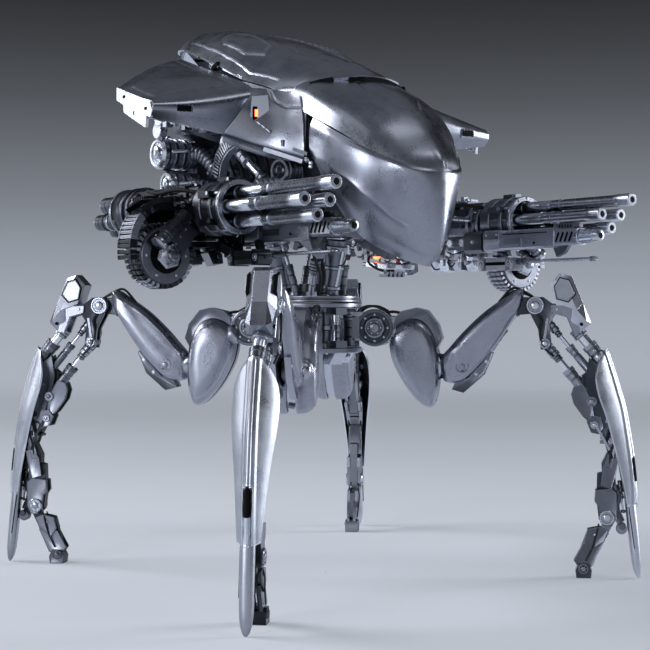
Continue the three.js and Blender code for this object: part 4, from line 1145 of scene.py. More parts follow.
def receiver(name, side):
    kit = Kit(gun_place(side), G)
    octagon(kit, 19, 21, -98, 62, (0, -1))
    octagon(kit, 22, 12, -70, -22, (0, 6), 0.25, F)
    octagon(kit, 16, 25, -90, -50, (0, 0), 0.3, F)
    octagon(kit, 21, 22, 10, 34, (0, -3), 0.3, F)
    for y, r in ((-102, 23), (-94, 25.5), (-86, 23.5), (-76, 25)):
        ringed(kit, y, y + 5, r, 14, m=F if r < 24 else G)
    ringed(kit, -156, -151, 29, 23.6, m=C)
    ringed(kit, -151, -141, 27.4, 23.6, m=F)
    ringed(kit, -141, -135, 29.4, 23.6, m=G)
    ringed(kit, -135, -119, 27.6, 23.6, m=F)
    ringed(kit, -119, -103, 29, 14, m=G)
    for x, z in around(12):
        kit.bolt((x * 26.4, -156, z * 26.4), (0, -1, 0), 1.2)
        kit.beam((x * 27.6, -150, z * 27.6), (x * 27.6, -120, z * 27.6), 2.6, 2.2, m=G, up=(x, 0.01, z))
    for x, z in ((0, 29), (-26, 13), (26, 13), (24, -16)):
        kit.box((9, 22, 7), (x, -130, z), m=F)
        kit.rod((x - 5.5, -138, z + 1), (x + 5.5, -138, z + 1), 2.2, m=C)
    octagon(kit, 15, 4, -66, 58, (0, 24), 0.3, F)
    kit.fins((0, -60, 29), (0, 5.4, 0), 12, (12, 2.2, 3.4), m=G)
    kit.turned((0, 34, 6), (0, 92, 6), [(0, 20), (2, 25), (16, 26), (18, 24), (34, 25), (36, 27), (50, 26),
                                        (58, 21)], 40, F)
    for y in (44, 58, 84):
        ringed(kit, y, y + 3.4, 27.6, 20, (0, 6), C if y == 84 else G)
    for x, z, r, y in ((0, 17, 10.5, 148), (15, -4, 9.5, 136), (-15, -4, 9.5, 142), (0, -14, 7, 130)):
        kit.drum((x, 80, z), (x, y - 8, z), r, 5, 1.2, G, sides=26)
        kit.turned((x, y - 8, z), (x, y, z), [(0, r), (3, r), (4, r - 1.6), (6, r - 2), (8, r - 4)], 26, C)
        # Painted shade: black in the hollow end of each cylinder.
        kit.turned((x, y, z), (x, y + 2, z), [(-1, r * 0.5), (1.4, r * 0.46), (1.4, r * 0.2)], 8, SHADOW)
        kit.bolt((x, y, z), (0, 1, 0), 1.6)
        ringed(kit, 96, 101, r + 1.4, r - 1, (x, z), C)
        ringed(kit, 108, 112, r + 1.2, r - 1, (x, z), F)
    for s in (-1, 1):
        kit.hub((s * 21, -6, 0), (s, 0, 0), 14, 9, m=F)
        kit.plate([(-34, 14), (-16, 22), (26, 20), (40, 6), (34, -14), (-10, -22), (-30, -10)], -1.5, 1.5,
                  G, 1.5)
        kit.box((3, 40, 12), (s * 21, -58, -12), m=G)
        for y in (-74, -66, -50, -42):
            kit.bolt((s * 22.5, y, -12), (s, 0, 0), 1.3)
        kit.fins((s * 21, 12, 16), (0, 5, 0), 6, (4, 2.4, 9), m=F)
        kit.tube([(s * 17, -96, 18), (s * 28, -70, 22), (s * 27, -30, 21), (s * 18, 10, 26)], 2.0,
                 ribs=0.22)
        kit.tube([(s * 20, -90, -10), (s * 29, -66, -20), (s * 26, -20, -22), (s * 20, 34, -10)], 1.7)
        kit.piston((s * 25, -84, 3), (s * 25, -26, 9), 3.2, m=C)
        kit.clutter((s * 20 - 3, -96, -20), (s * 20 + 6, 60, 20), 30, 0.62, out=(s, 0, 0))
    kit.clutter((-16, -92, 22), (16, 30, 30), 22, 0.66, out=(0, 0, 1))
    kit.clutter((-18, -90, -34), (18, 56, -20), 44, 0.9)
    kit.turned((-20, -6, 0), (-110, -6, 0), [(0, 14), (8, 14), (9, 11), (26, 11), (27, 12.6),
                                             (36, 12.6), (37, 11), (86, 11)], 28, C)
    kit.beam((-26, -16, -12), (-56, -10, -8), 8, 7, m=F)
    kit.make(f"gun_{name}_detail", f"gun_mount_{name}", replaces=[f"gun_{name}"])


def rotor(name, side):
    kit = Kit(gun_place(side), G)
    for k in range(4):
        t = math.pi * (0.5 + k / 2)
        x, z = 15 * math.cos(t), 15 * math.sin(t)
        tip = -325 if k == 0 else -294
        n = -108 - tip
        profile = [(0, 5.6), (34, 5.6), (36, 6.6), (92, 6.6), (93, 6.2), (95, 6.2), (96, 6.6), (n - 25, 6.6),
                   (n - 24, 7.1), (n - 12, 7.2), (n - 1, 7.2)]
        kit.turned((x, -108, z), (x, tip, z), profile, 28, C)
        kit.pipe((x, tip + 1.4, z), (x, tip, z), 7.2, 3.7, m=C, sides=28, depth=1)
        for y in (-150, -214):
            kit.turned((x, y, z), (x, y - 3, z), [(0, 7.2), (3, 7.2)], 24, G)
    kit.turned((0, -108, 0), (0, -270, 0), [(0, 22), (6, 22), (7, 9), (100, 7.5), (150, 6), (158, 4)], 32,
               F)
    # Painted shade: a black block between the barrels.
    kit.turned((0, -196, 0), (0, -206, 0), [(0, 13), (10, 13)], 6, SHADOW)
    kit.make(f"barrels_{name}_detail", f"rotor_{name}", replaces=[f"barrels_{name}"], bevel=0.3)


def cannon(name, side):
    kit = Kit(gun_place(side), G)
    x, z = -33, -25
    octagon(kit, 9, 11.5, -244, -124, (x, z), 0.2, A)
    octagon(kit, 8, 9.4, -279, -240, (x, z), 0.25, A)
    octagon(kit, 9.6, 12.4, -152, -126, (x, z), 0.24, A)
    octagon(kit, 10.5, 13, -122, -90, (x, z - 1), 0.3, F)
    octagon(kit, 7, 8, -96, -50, (x + 4, z), 0.3, F)
    # Painted shade: black vents, lines and slots, and black in the muzzle.
    for s in (-1, 1):
        for k in range(4):
            kit.box((1.2, 3.0, 12), (x + s * 7.8, -270 + 7 * k, z), Matrix.Rotation(0.45, 4, "X"), SHADOW)
        kit.box((1.2, 3, 3), (x + s * 8.8, -212, z - 5), m=SHADOW)
        kit.box((0.8, 74, 1.2), (x + s * 9, -196, z + 6.6), m=SHADOW)
        kit.box((2, 30, 7), (x + s * 9, -176, z - 2), m=G)
        kit.bolt((x + s * 10.4, -106, z), (s, 0, 0), 1.9)
        for y in (-148, -130):
            kit.bolt((x + s * 9.6, y, z + 7), (s, 0, 0), 1.1)
    kit.fins((x, -230, z + 11.2), (0, 5.4, 0), 5, (11, 2, 1.6), m=SHADOW)
    kit.box((5, 5, 17), (x, -240, z + 9), m=G)
    kit.box((7, 30, 6), (x, -256, z + 12.6), m=F)
    for s in (-3.6, 3.6):
        kit.fins((x + s, -266, z + 12.6), (0, 4.4, 0), 5, (0.8, 2.2, 3.4), m=SHADOW)
    kit.turned((x, -268, z + 12.6), (x, -279, z + 12.6), [(0, 3), (11, 3)], 20, F)
    for c, d in around(12):
        kit.hull([(x + c * r + d * w, y, z + d * r - c * w) for y, r in ((-282, 8.3), (-299, 6.6))
                  for w in (-1.1, 1.1)]
                 + [(x + c * 4, y, z + d * 4) for y in (-281, -300)], C)
    kit.turned((x, -272, z), (x, -309, z), [(0, 7), (5, 9), (8, 9), (9, 6.6), (27, 5.4), (28, 6.6),
                                            (36, 6.2), (37, 3.6)], 28, C)
    kit.turned((x, -307, z), (x, -309.2, z), [(0, 3.6), (2.2, 3.6)], 20, SHADOW)
    kit.hull([(x + c, d, z + e) for c in (-2.5, 2.5) for d, e in ((-262, -9), (-236, -10), (-242, -22),
            (-254, -18))], F)
    for y in (-112, -84, -62):
        kit.beam((x, y, z), (-6, y + 6, -16), 8, 9, m=F)
        kit.drum((x - 9, y, z), (x + 12, y, z), 5, 1, m=C)
    kit.make(f"cannon_{name}_detail", f"gun_mount_{name}", replaces=[f"cannon_{name}"])


def sight(name, side):
    """The flat box under the cannon with its rods, and the bright plates below the gun."""
    kit = Kit(gun_place(side), F)
    x = -24
    kit.hull([(x + c, d, e) for c in (-9, 9) for d, e in ((-168, -51), (-162, -45), (-112, -45),
                                                          (-104, -50), (-106, -60), (-164, -59))],
             G)
    for s in (-1, 1):
        # Painted shade: black lines along both sides of the box.
        kit.box((1.2, 34, 4), (x + s * 9.2, -136, -52), m=SHADOW)
        for y in (-160, -112):
            kit.hub((x + s * 8.6, y, -52), (s, 0, 0), 4.4, 2.6, m=C)
    for y in (-157, -115):
        kit.box((20.6, 5, 17), (x, y, -52), m=F)
        kit.beam((x, y, -46), (x, y + 4, -34), 8, 6, m=F)
    kit.drum((x, -166, -50), (x, -184, -50), 4.2, 2, m=F)
    kit.rod((x, -166, -50), (x, -206, -50), 3, m=G)
    kit.pipe((x, -200, -50), (x, -296, -50), 1.9, 1.0, m=C)
    kit.drum((x, -284, -50), (x, -292, -50), 2.9, 1, m=G)
    kit.rod((x + 7, -150, -48), (x + 7, -190, -48), 2.0, m=G)
    kit.rod((12, -20, -30), (12, -128, -34), 1.6, m=C)
    for k, (px, y) in enumerate(((2, 14), (-2, -14), (-8, -42), (-14, -74))):
        tip = 7 + 2 * k
        facets = ((-9, -8, -46), (9, -8, -46), (9, 8, -46), (-9, 8, -46), (-7, -tip, -57), (6, -tip, -58),
                  (5, 2, -60), (-6, 2, -59))
        kit.hull([(px + c, y + d, e) for c, d, e in facets], C if k % 2 else A)
        kit.box((14, 12, 12), (px, y, -42), m=F)
        kit.drum((px + 9, y, -41), (px + 13, y, -41), 3.4, 1, m=C)
    kit.beam((8, -36, -30), (2, 30, -40), 20, 10, m=F)
    kit.beam((-6, -96, -34), (2, 26, -38), 24, 12, m=F)
    kit.beam((x, -116, -50), (-10, -74, -30), 10, 10, m=F)
    kit.clutter((-32, -96, -50), (20, 18, -28), 64, 0.9)
    kit.hub((21, -26, -24), (1, 0, 0), 8, 7, m=C)
    kit.turned((27, -26, -24), (34, -26, -24), [(0, 4), (3, 4), (5, 2.6)], 24, C)
    kit.make(f"sight_{name}", f"gun_mount_{name}")


def feed(name, side):
    """The feed drum turns; its fork, the slanted cylinder and the belt stay with the gun."""
    place = gun_place(side)
    x, y, z = DRUM_AT
    wheel = Kit(place, F)
    ringed(wheel, y - 14, y + 14, 31, 12, (x, z), F)
    ringed(wheel, y - 15.6, y - 11, 29.5, 19, (x, z), G)
    ringed(wheel, y + 11, y + 15.6, 29.5, 19, (x, z), G)
    for k in range(34):
        t = 2 * math.pi * k / 34
        c, d = math.cos(t), math.sin(t)
        turn = Matrix.Rotation(-t, 4, "Y")
        wheel.box((5.4, 27, 3.4), (x + 32 * c, y, z + 32 * d), turn, G)
        for e in (-8.6, 0, 8.6):
            wheel.box((1.4, 5.4, 4.2), (x + 34.6 * c, y + e, z + 34.6 * d), turn, G)
    # Painted shade: black in the recess of the ring face.
    wheel.turned((x, y - 14.8, z), (x, y - 12, z), [(0, 19), (0.4, 18), (0.4, 12.4), (1, 12)], 36, SHADOW)
    for c, d in around(6):
        wheel.bolt((x + 24 * c, y - 15.6, z + 24 * d), (0, -1, 0), 1.1)
    wheel.make(f"feed_drum_{name}", f"feed_drum_{name}", replaces=[f"drum_{name}"], bevel=0.25)
    kit = Kit(place, F)
    for s, low in ((-1, y - 21.5), (1, y + 17.5)):
        kit.hull([(c, low + e, d) for e in (0, 4) for c, d in ((10, -16), (22, 8), (38, 0), (x + 13, z + 8),
                (x + 8, z - 11), (x - 6, z - 12), (x - 14, z - 3))], F)
        kit.turned((x, low + 2, z), (x, low + 2 + s * 9, z), [(0, 15), (3, 15), (5, 12.5), (6, 12.5),
                (9, 8)], 6, C)
        kit.turned((x, low, z), (x, low + 2 + s * 11, z), [(0, 6), (11, 6), (12, 4.6)], 24, G)
        for k in range(5):
            kit.bolt((20 + 6 * k, low + 2 + s * 2, -6 - 8 * k), (0, s, 0), 1.0)
        kit.tube([(24, low + 2 + s * 3, 2), (42, low + 2 + s * 6, -8), (62, low + 2 + s * 5, -24),
                  (64, low + 2 + s * 3, -44)],
                 2.2, ribs=0.2)
    belt = smooth_line([(90, y, -52), (90.4, y, -40), (87, y, -22), (77, y, -7), (62, y, 1), (44, y, 3),
                        (24, y, 3)], 4.4)
    for at, axis in belt:
        turn = Matrix.Rotation(-math.atan2(axis.z, axis.x), 4, "Y")
        kit.box((3.3, 27, 6.4), at, turn, G)
        kit.box((1.5, 23, 8), at, turn, F)
        for e in (-13, 13):
            kit.box((4.6, 2.4, 8), at + Vector((0, e, 0)), turn, F)
    cover = [(16, 12), (40, 13), (66, 10), (84, -1), (80, -5), (62, 6), (40, 8), (16, 8)]
    for low in (y - 17, y + 14.6):
        kit.plate(cover, low, low + 2.4, F)
    kit.turned((46, y + 17, -4), (46, y + 62, -2), [(0, 14), (3, 17), (20, 17), (22, 15), (38, 15),
                                                    (44, 11)], 36, F)
    kit.turned((46, y + 30, -4), (46, y + 34, -4), [(0, 18), (4, 18)], 36, C)
    a, b = Vector((34, y - 26, -6)), Vector((70, y - 30, -40))
    kit.drum(a, a.lerp(b, 0.7), 8.4, 3, 1.2, F)
    kit.drum(a.lerp(b, 0.62), b, 6.8, 2, 1.0, G)
    kit.turned(a.lerp(b, 0.9), b, [(0, 9), (2, 9.6), (4, 9.6), (5, 7)], 28, C)
    kit.beam((16, y - 26, 0), a, 12, 12, m=F)
    kit.clutter((22, y - 26, -12), (44, y - 20, 10), 18, 0.7, out=(0, -1, 0))
    kit.clutter((24, y + 20, -22), (46, y + 66, -4), 34, 0.9, out=(1, 0, 0))
    kit.make(f"feed_{name}_frame", f"gun_mount_{name}", bevel=0.3)


for side_name, side_sign in SIDES.items():
    receiver(side_name, side_sign)
    rotor(side_name, side_sign)
    cannon(side_name, side_sign)
    sight(side_name, side_sign)
    feed(side_name, side_sign)


# ---------- turret shells ----------
ARMOUR_DROP = 6
TURRET = BODY @ Matrix.Translation((0, 0, -ARMOUR_DROP))


def both_sides(half):
    """A row of control points given from the middle outwards, completed on the other side."""
    return [(-x, y, z) for x, y, z in half[:0:-1]] + list(half)


def arch(profile, w, edge_y, edge_z, crest_y, crest_z):
    """An arch between two edges. The profile gives pairs of offset and rise, from the crest to the edge."""
    half = [(w * x, edge_y + (crest_y - edge_y) * (1 - x), edge_z + (crest_z - edge_z) * rise)
            for x, rise in profile]
    return both_sides(half)


HOOD_ARCH = [(0, 1), (0.22, 0.97), (0.44, 0.88), (0.62, 0.77), (0.76, 0.65), (0.86, 0.52), (0.935, 0.35),
             (1, 0)]
DORSAL_ARCH = [(0, 1), (0.2, 0.985), (0.4, 0.93), (0.56, 0.84), (0.68, 0.70), (0.84, 0.42), (0.95, 0.14),
               (1, 0)]
HOOD = [(78, -58, 554, -58, 602), (82.5, -92, 543, -92, 593), (83.5, -124, 530, -126, 579),
        (78, -157, 514, -160, 562), (66, -186, 496, -192, 536), (51.5, -206, 482, -216, 509),
        (40, -222, 474, -236, 487), (33, -229, 470, -243, 470)]
CHIN = [[(0, -241, 470), (32, -228.5, 473), (51, -206, 484), (68, -182.5, 498), (81, -150.5, 516),
         (84.5, -118, 532)],
        [(0, -242.5, 462), (33, -231.5, 466), (53, -208.5, 477), (70.5, -185, 490), (84, -151, 507),
         (87.5, -117, 523)],
        [(0, -243, 440), (25, -233, 442), (48.5, -209.5, 453), (70.5, -183.5, 470), (84, -150, 492),
         (88, -116, 512)],
        [(0, -240, 405), (15, -232, 407), (39, -207, 416), (65, -179, 434), (80, -146, 463),
         (87, -115, 500)],
        [(0, -230, 378), (11, -224, 380), (33, -200, 390), (59, -171, 412), (74, -142, 446),
         (83, -114, 490)],
        [(0, -214, 366), (8, -210, 368), (27, -191, 378), (54, -165, 400), (70, -139, 438),
         (81, -113, 486)]]
DORSAL_FRONT = [(0, -121, 581.6), (18, -120.5, 581), (34, -117, 578.4), (46, -106, 577), (55, -92, 575),
                (62, -78, 571), (67, -66, 567), (70, -56, 562)]
DORSAL = [(86, -36, 573, -86, 601), (96, 2, 586, -34, 621), (99, 50, 607, 34, 646),
          (91, 110, 628, 104, 664), (76, 170, 645, 170, 675), (60, 214, 653, 222, 676),
          (55, 224, 650, 231, 669)]
CREST_RECESS = [(-28, -124), (-35, -152), (-15, -183), (0, -190), (15, -183), (35, -152), (28, -124)]
SPINE = [(-17, 190), (-22, 92), (-36, 20), (-36, -30), (-18, -66), (0, -82), (18, -66), (36, -30), (36, 20),
         (22, 92), (17, 190)]
BACK_PANEL = [(46, 98), (40, 70), (50, 14), (66, 4), (78, 30), (74, 82), (62, 104)]
# Black strips painted as the shadow in the gaps where the dorsal plate meets the hood.
SEAM_SLIT_SHADOWS = ([(-64, -84, 574), (-57, -96, 577), (-49, -107, 578.6)],
              [(-35, -118, 577.4), (-18, -121.8, 579.6), (0, -122.4, 580.2), (16, -122, 579.4),
               (28, -120.4, 577), (38, -118.5, 573)],
              [(51, -108, 577), (61, -99, 571), (68, -88, 563)])


def mirrored(flat):
    return np.stack([np.abs(flat[..., 0]), flat[..., 1]], -1)


def hood_relief(p):
    flat = p[..., :2]
    recess = inside(flat, CREST_RECESS)
    return groove(recess, 0.6, 1.2) - 0.9 * step(recess, 2.5)


def dorsal_relief(p):
    flat = p[..., :2]
    panel = inside(mirrored(flat), BACK_PANEL)
    rail = line_distance(mirrored(flat), [(76, -40), (88, 0), (88, 50), (80, 110), (66, 170)])
    cross = line_distance(flat, [(-100, 118), (-40, 128), (0, 122), (40, 128), (100, 118)])
    return (2.6 * step(inside(flat, SPINE), 2.0) - 1.8 * step(panel, 1.6) + 1.1 * step(panel - 5, 1.2)
            + groove(rail, 1.0, 1.2) + groove(cross, 0.8, 1.1))


def chin_relief(p):
    flat = np.stack([np.abs(p[..., 0]), p[..., 2]], -1)
    panel = line_distance(flat, [(88, 496), (80, 470), (66, 446), (44, 422), (30, 410)])
    return 1.5 * np.exp(-panel / 2.4)


def nose():
    shell("nose_hood_armour", "turret", [arch(HOOD_ARCH, *s) for s in HOOD], (190, 190), 3.0, hood_relief,
          place=TURRET, replaces=["nose_hood"])
    shell("nose_chin_armour", "turret", [both_sides(row) for row in CHIN], (120, 200), 3.0, chin_relief,
          place=TURRET, replaces=["nose_chin"])
    shell("dorsal_armour", "turret", [both_sides(DORSAL_FRONT)] + [arch(DORSAL_ARCH, *s) for s in DORSAL],
          (220, 150), 3.2, dorsal_relief, place=TURRET, replaces=["dorsal_plate"])
    rim = Kit(TURRET, F)
    # Painted shade: a black line along the crease, and black strips at its sides.
    crease = [(-x, y, z) for x, y, z in CHIN[0][:0:-1]] + CHIN[0]
    rim.tube([(x * 0.955, y + 6, z - 2) for x, y, z in crease], 3.2, m=SHADOW)
    for s in (-1, 1):
        rim.beam((s * 84, -112, 532), (s * 82, -108, 488), 4, 9, m=SHADOW)
        rim.beam((s * 78, -100, 540), (s * 80, -100, 486), 5, 10, m=F)
        rim.bolt((s * 85, -106, 486), (s, -0.4, 0), 2.2)
        rim.drum((s * 83, -112, 484), (s * 83, -112, 476), 3, 1, m=C)
    # Painted shadow: black slits along the seam with the dorsal plate.
    for slit in SEAM_SLIT_SHADOWS:
        for a, b in zip(slit, slit[1:]):
            rim.beam(a, b, 4.6, 5.4, m=SHADOW)
    rim.make("nose_seam", "turret")


def wing_points(side):
    inner = [(150, -34, 517), (130, -43, 546), (113, -38, 571), (112, 10, 590), (112, 70, 609),
             (110, 126, 627)]
    outer = [(242, -33, 529), (243, -40, 538), (242, -35, 547), (243, 0, 556), (243, 26, 565),
             (240, 44, 571)]
    net = []
    for k, (a, b) in enumerate(zip(inner, outer)):
        row = []
        for t in (0, 0.2, 0.4, 0.6, 0.8, 1):
            x, y, z = (u + (v - u) * t for u, v in zip(a, b))
            bulge = 4 * t * (1 - t)
            row.append((side * x, y - (3 * bulge if k == 1 else 0), z + (6 * bulge if k > 2 else 0)))
        net.append(row)
    return net


def wing(name, side):
    def relief(p):
        flat = np.stack([np.abs(p[..., 0]), p[..., 1]], -1)
        seam = line_distance(flat, [(128, -20), (130, 60), (126, 112)])
        rise = 1.6 * step(inside(flat, [(140, -24), (232, -24), (232, 28), (190, 62), (140, 92)]), 2.5)
        return np.where(p[..., 1] > -34, groove(seam, 1.0, 1.2) + rise, 0)

    def slot(p):
        x = np.abs(p[..., 0])
        return (p[..., 1] < -34) & (x > 195) & (x < 214) & (p[..., 2] > 537.5) & (p[..., 2] < 544.5)

    # The slot is sunk and painted black as shade.
    shell(f"wing_{name}_armour", "turret", wing_points(side), (150, 170), 2.6,
          lambda p: relief(p) - 2.2 * slot(p), (SHADOW, slot), TURRET, replaces=[f"wing_{name}"])
    end = Kit(TURRET, C)
    x = side * 241.5
    end.hull([(x + d, y, z) for d in (-1.5, 1.5) for y, z in ((-34, 529), (-38, 537), (-33, 547), (0, 556),
            (26, 565), (44, 571), (44, 556), (8, 541))])
    end.hull([(x + d - side * 1, y, z) for d in (-2, 2) for y, z in ((-24, 533), (30, 554), (28, 541),
            (-22, 519))])
    # Painted shade: small black slots in the end plate.
    end.box((4, 5, 3.4), (x + side * 0.2, 26, 558.5), m=SHADOW)
    end.box((4, 5, 3.4), (x + side * 0.2, -24, 540), m=SHADOW)
    end.box((3.6, 1, 5), (x, 4, 538), m=SHADOW)
    end.make(f"wing_{name}_end", "turret", bevel=0.7)
    under = Kit(TURRET, F)
    # Painted shade: a black hull under the wing.
    belly = ((124, -28, 560), (152, -28, 522), (236, -26, 532), (236, 0, 548), (232, 30, 558), (180, 72, 584),
             (122, 104, 606), (128, 60, 560), (160, 60, 560), (200, 30, 542))
    under.hull([(side * x, y, z) for x, y, z in belly], m=SHADOW)
    for k in range(5):
        under.beam((side * (150 + 18 * k), -26, 521 + 2 * k), (side * (150 + 18 * k), 40 - 4 * k, 546 - k),
                   5, 5, m=F)
    under.beam((side * 130, 20, 536), (side * 226, 4, 537), 6, 6, m=G, up=(0, 1, 0))
    under.clutter((side * 135, -20, 530), (side * 225, 40, 548), 26, 0.9)
    under.make(f"wing_{name}_underside", "turret")


def cheek(name, side):
    rows = [[(116, -40, 572), (101, -48, 571), (86, -62, 568), (80, -86, 561)],
            [(131, -45, 546), (113, -56, 541), (97, -74, 538), (86, -100, 532)],
            [(148, -35, 519), (125, -52, 510), (104, -74, 501), (87, -104, 493)],
            [(141, -20, 510), (120, -36, 500), (100, -58, 491), (84, -96, 484)]]

    def relief(p):
        flat = np.stack([np.abs(p[..., 0]), p[..., 2]], -1)
        return groove(line_distance(flat, [(98, 575), (97, 556), (92, 548), (80, 545)]), 1.2, 1.2)

    net = [[(side * x, y, z) for x, y, z in row] for row in rows]
    shell(f"cheek_{name}_armour", "turret", net, (70, 70), 2.4, relief, place=TURRET)
    lamp = Kit(TURRET, A)
    lamp.hull([(side * a, b, c) for a, b, c in ((122, -52, 560), (106, -60, 562), (104, -62, 534),
                                                (112, -58, 522), (124, -50, 528),
                                                (118, -42, 560), (104, -48, 540), (122, -42, 530))], m=A)
    lamp.box((6, 4, 15), (side * 118.5, -53, 541), m=SHADOW)
    lamp.box((3.4, 3, 8), (side * 118.5, -54.4, 541), m=RED)
    lamp.bolt((side * 118.5, -55, 533), (0, -1, 0), 1.0)
    lamp.piston((side * 117, -54, 532), (side * 98, -78, 508), 2.6, m=G)
    lamp.box((8, 8, 7), (side * 97, -79, 506), m=G)
    lamp.beam((side * 96, -80, 503), (side * 86, -110, 492), 3, 4, m=G)
    lamp.beam((side * 112, -62, 500), (side * 88, -104, 484), 5, 5, m=F)
    lamp.make(f"cheek_{name}_lamp", "turret", bevel=0.8)


def back_trim():
    kit = Kit(TURRET, G)
    for s in (-1, 1):
        kit.beam((s * 79, 168, 647), (s * 92, 112, 630), 5, 3, m=C)
        kit.beam((s * 94, 104, 628), (s * 100, 54, 609), 3.4, 3, m=F)
        kit.box((9, 14, 5), (s * 98, 62, 611), Matrix.Rotation(-0.35, 4, "X"), SHADOW)
        kit.drum((s * 96, 70, 614), (s * 103, 70, 612), 3.6, 1, m=C)
        kit.beam((s * 99, 46, 606), (s * 98, 6, 590), 2.4, 3, m=C)
        kit.hull([(s * a, b, c) for a, b, c in ((60, 206, 655), (78, 170, 646), (74, 190, 626),
                                                (50, 228, 640), (52, 226, 652), (66, 160, 628))], m=A)
        kit.beam((s * 56, 226, 644), (s * 66, 186, 616), 4, 8, m=F)
        for k in range(5):
            kit.box((1.8, 8, 15), (s * (14 + 9 * k), 226 - k * 3, 628), m=G)
    kit.hull([(s * a, b, c) for s in (-1, 1) for a, b, c in ((54, 224, 648), (60, 210, 622), (50, 200, 596),
            (30, 222, 648))], m=F)
    kit.drum((0, 214, 616), (0, 236, 618), 13, 3, m=G)
    kit.turned((0, 220, 617), (0, 240, 618.6), [(0, 11), (17, 10), (17, 8), (8, 6)], 28, C)
    for s in (-1, 1):
        kit.drum((s * 32, 206, 612), (s * 32, 226, 614), 9, 2, m=G)
        kit.turned((s * 32, 214, 613), (s * 32, 232, 614.5), [(0, 7.4), (13, 7), (13, 5.4), (5, 4)], 24, C)
        kit.tube([(s * 20, 196, 600), (s * 44, 206, 596), (s * 62, 186, 606), (s * 70, 150, 612)], 3.2,
                 ribs=0.2)
    kit.clutter((-52, 190, 572), (52, 208, 606), 46, 1.2, out=(0, 1, 0))
    kit.make("tail_machinery", "turret")


nose()
for side_name, side_sign in SIDES.items():
    wing(side_name, side_sign)
    cheek(side_name, side_sign)
back_trim()


# ---------- camera, floor and light ----------
VIEW = {"azimuth": -35.68, "distance": 1.826, "side": 0.0136, "height": 0.311, "lens": 83.95,
        "shift": -0.021}


def camera():
    turn = math.radians(VIEW["azimuth"])
    right = Vector((math.cos(turn), math.sin(turn), 0))
    ahead = Vector((-math.sin(turn), math.cos(turn), 0))
    data = bpy.data.cameras.new("camera")
    data.lens = VIEW["lens"]
    data.sensor_width = 36
    data.shift_y = VIEW["shift"]
    data.clip_end = 30
    seen = bpy.data.objects.new("camera", data)
    seen.location = Vector((0, HUB_Y, VIEW["height"])) + right * VIEW["side"] - ahead * VIEW["distance"]
    seen.rotation_mode = "QUATERNION"
    seen.rotation_quaternion = ahead.to_track_quat("-Z", "Y")
    bpy.context.scene.collection.objects.link(seen)
    bpy.context.scene.camera = seen


LIGHT_AIM = Vector((0, HUB_Y, 0.38))
LIGHT_REACH = 3.6


def softbox(name, turn, rise, size, power, color=(0.95, 0.975, 1.0)):
    """A light on a sphere round the robot. turn is counted from the camera, positive to the right."""
    level = math.radians(VIEW["azimuth"] + turn)
    steep = math.radians(rise)
    out = Vector((math.sin(level) * math.cos(steep), -math.cos(level) * math.cos(steep), math.sin(steep)))
    data = bpy.data.lights.new(name, "AREA")
    data.shape = "RECTANGLE"
    data.size, data.size_y = size
    data.energy = power
    data.color = color
    lamp = bpy.data.objects.new(name, data)
    lamp.location = LIGHT_AIM + LIGHT_REACH * out
    lamp.rotation_mode = "QUATERNION"
    lamp.rotation_quaternion = (-out).to_track_quat("-Z", "Y")
    bpy.context.scene.collection.objects.link(lamp)


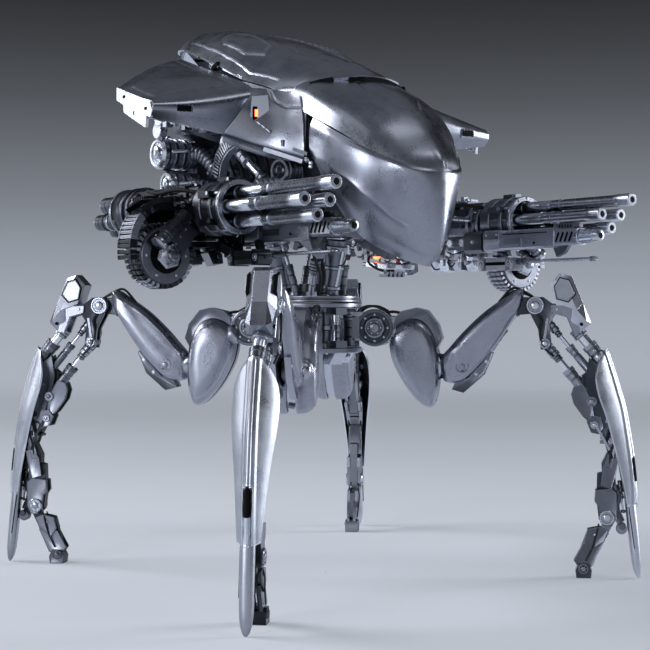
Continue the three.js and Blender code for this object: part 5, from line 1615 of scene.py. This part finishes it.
def cyclorama():
    """A round studio: a pale floor curving into a wall; it glows, with painted falloff darker upward and
    painted shading by distance.
    """
    made, tree, shader = material("studio_painted_light")
    where = node(tree, "NewGeometry").outputs["Position"]
    split = node(tree, "SeparateXYZ", [(where, "Vector")])
    high = node(tree, "MapRange", [(split.outputs["Z"], "Value")], From_Min=0.0, From_Max=2.2)
    tones = ((0.0, 0.5), (0.086, 0.42), (0.16, 0.37), (0.26, 0.29), (0.353, 0.2), (0.448, 0.135),
             (0.54, 0.08), (0.636, 0.044), (0.72, 0.024), (1.0, 0.012))
    # Painted falloff of the light: the colour darkens with height.
    wall = ramp(tree, high.outputs[0], [(at, (tone, 1.06 * tone, 1.16 * tone)) for at, tone in tones])
    reach = node(tree, "VectorMath", [(where, 0)])
    reach.operation = "LENGTH"
    spread = node(tree, "MapRange", [(reach.outputs["Value"], "Value")], From_Min=0.0, From_Max=4.5)
    # Painted light on the floor: brightest near the middle, dimmer at middle distance, full again at the
    # wall.
    shade = ramp(tree, spread.outputs[0], [(0.0, 1.06), (0.16, 1.0), (0.32, 0.9), (0.6, 0.86), (0.9, 1.0)])
    wall = mix(tree, "MULTIPLY", 1.0, wall, shade)
    tree.links.new(wall, shader.inputs["Base Color"])
    # Painted light: the studio glows with its own colour.
    tree.links.new(wall, shader.inputs["Emission Color"])
    shader.inputs["Emission Strength"].default_value = 0.4
    shader.inputs["Roughness"].default_value = 0.9
    radius, bend, tall = 4.5, 0.35, 4.0
    profile = [(0.001, 0), (0.8, 0), (2.2, 0), (radius - bend, 0)]
    profile += [(radius - bend + bend * math.sin(t), bend - bend * math.cos(t))
                for t in (math.pi / 2 * k / 8 for k in range(1, 9))]
    profile.append((radius, tall))
    turns = 96
    points = [(r * c, r * s, z) for r, z in profile for c, s in around(turns)]
    faces = [(i * turns + k, i * turns + (k + 1) % turns, (i + 1) * turns + (k + 1) % turns,
              (i + 1) * turns + k)
             for i in range(len(profile) - 1) for k in range(turns)]
    mesh = bpy.data.meshes.new("studio")
    mesh.from_pydata(points, [], faces)
    mesh.polygons.foreach_set("use_smooth", [True] * len(faces))
    mesh.materials.append(made)
    studio = bpy.data.objects.new("studio", mesh)
    bpy.context.scene.collection.objects.link(studio)


def world():
    sky = bpy.data.worlds.new("world")
    bpy.context.scene.world = sky
    sky.use_nodes = True
    back = sky.node_tree.nodes["Background"]
    back.inputs["Color"].default_value = (0.32, 0.34, 0.38, 1)
    back.inputs["Strength"].default_value = 0.4


camera()
cyclorama()
world()
softbox("key_left", -98, 33, (2.0, 1.0), 78)
softbox("low_left", -106, 9, (0.9, 1.1), 11)
softbox("front_left", -40, 8, (1.2, 1.2), 32, (0.92, 0.95, 1.0))
softbox("front_top", -48, 50, (2.2, 2.0), 6)
softbox("front", 4, 15, (2.6, 1.8), 7)
softbox("right", 100, 8, (1.4, 1.5), 78)
softbox("right_top", 62, 56, (1.2, 1.2), 9)
bpy.context.scene.view_settings.view_transform = "Standard"
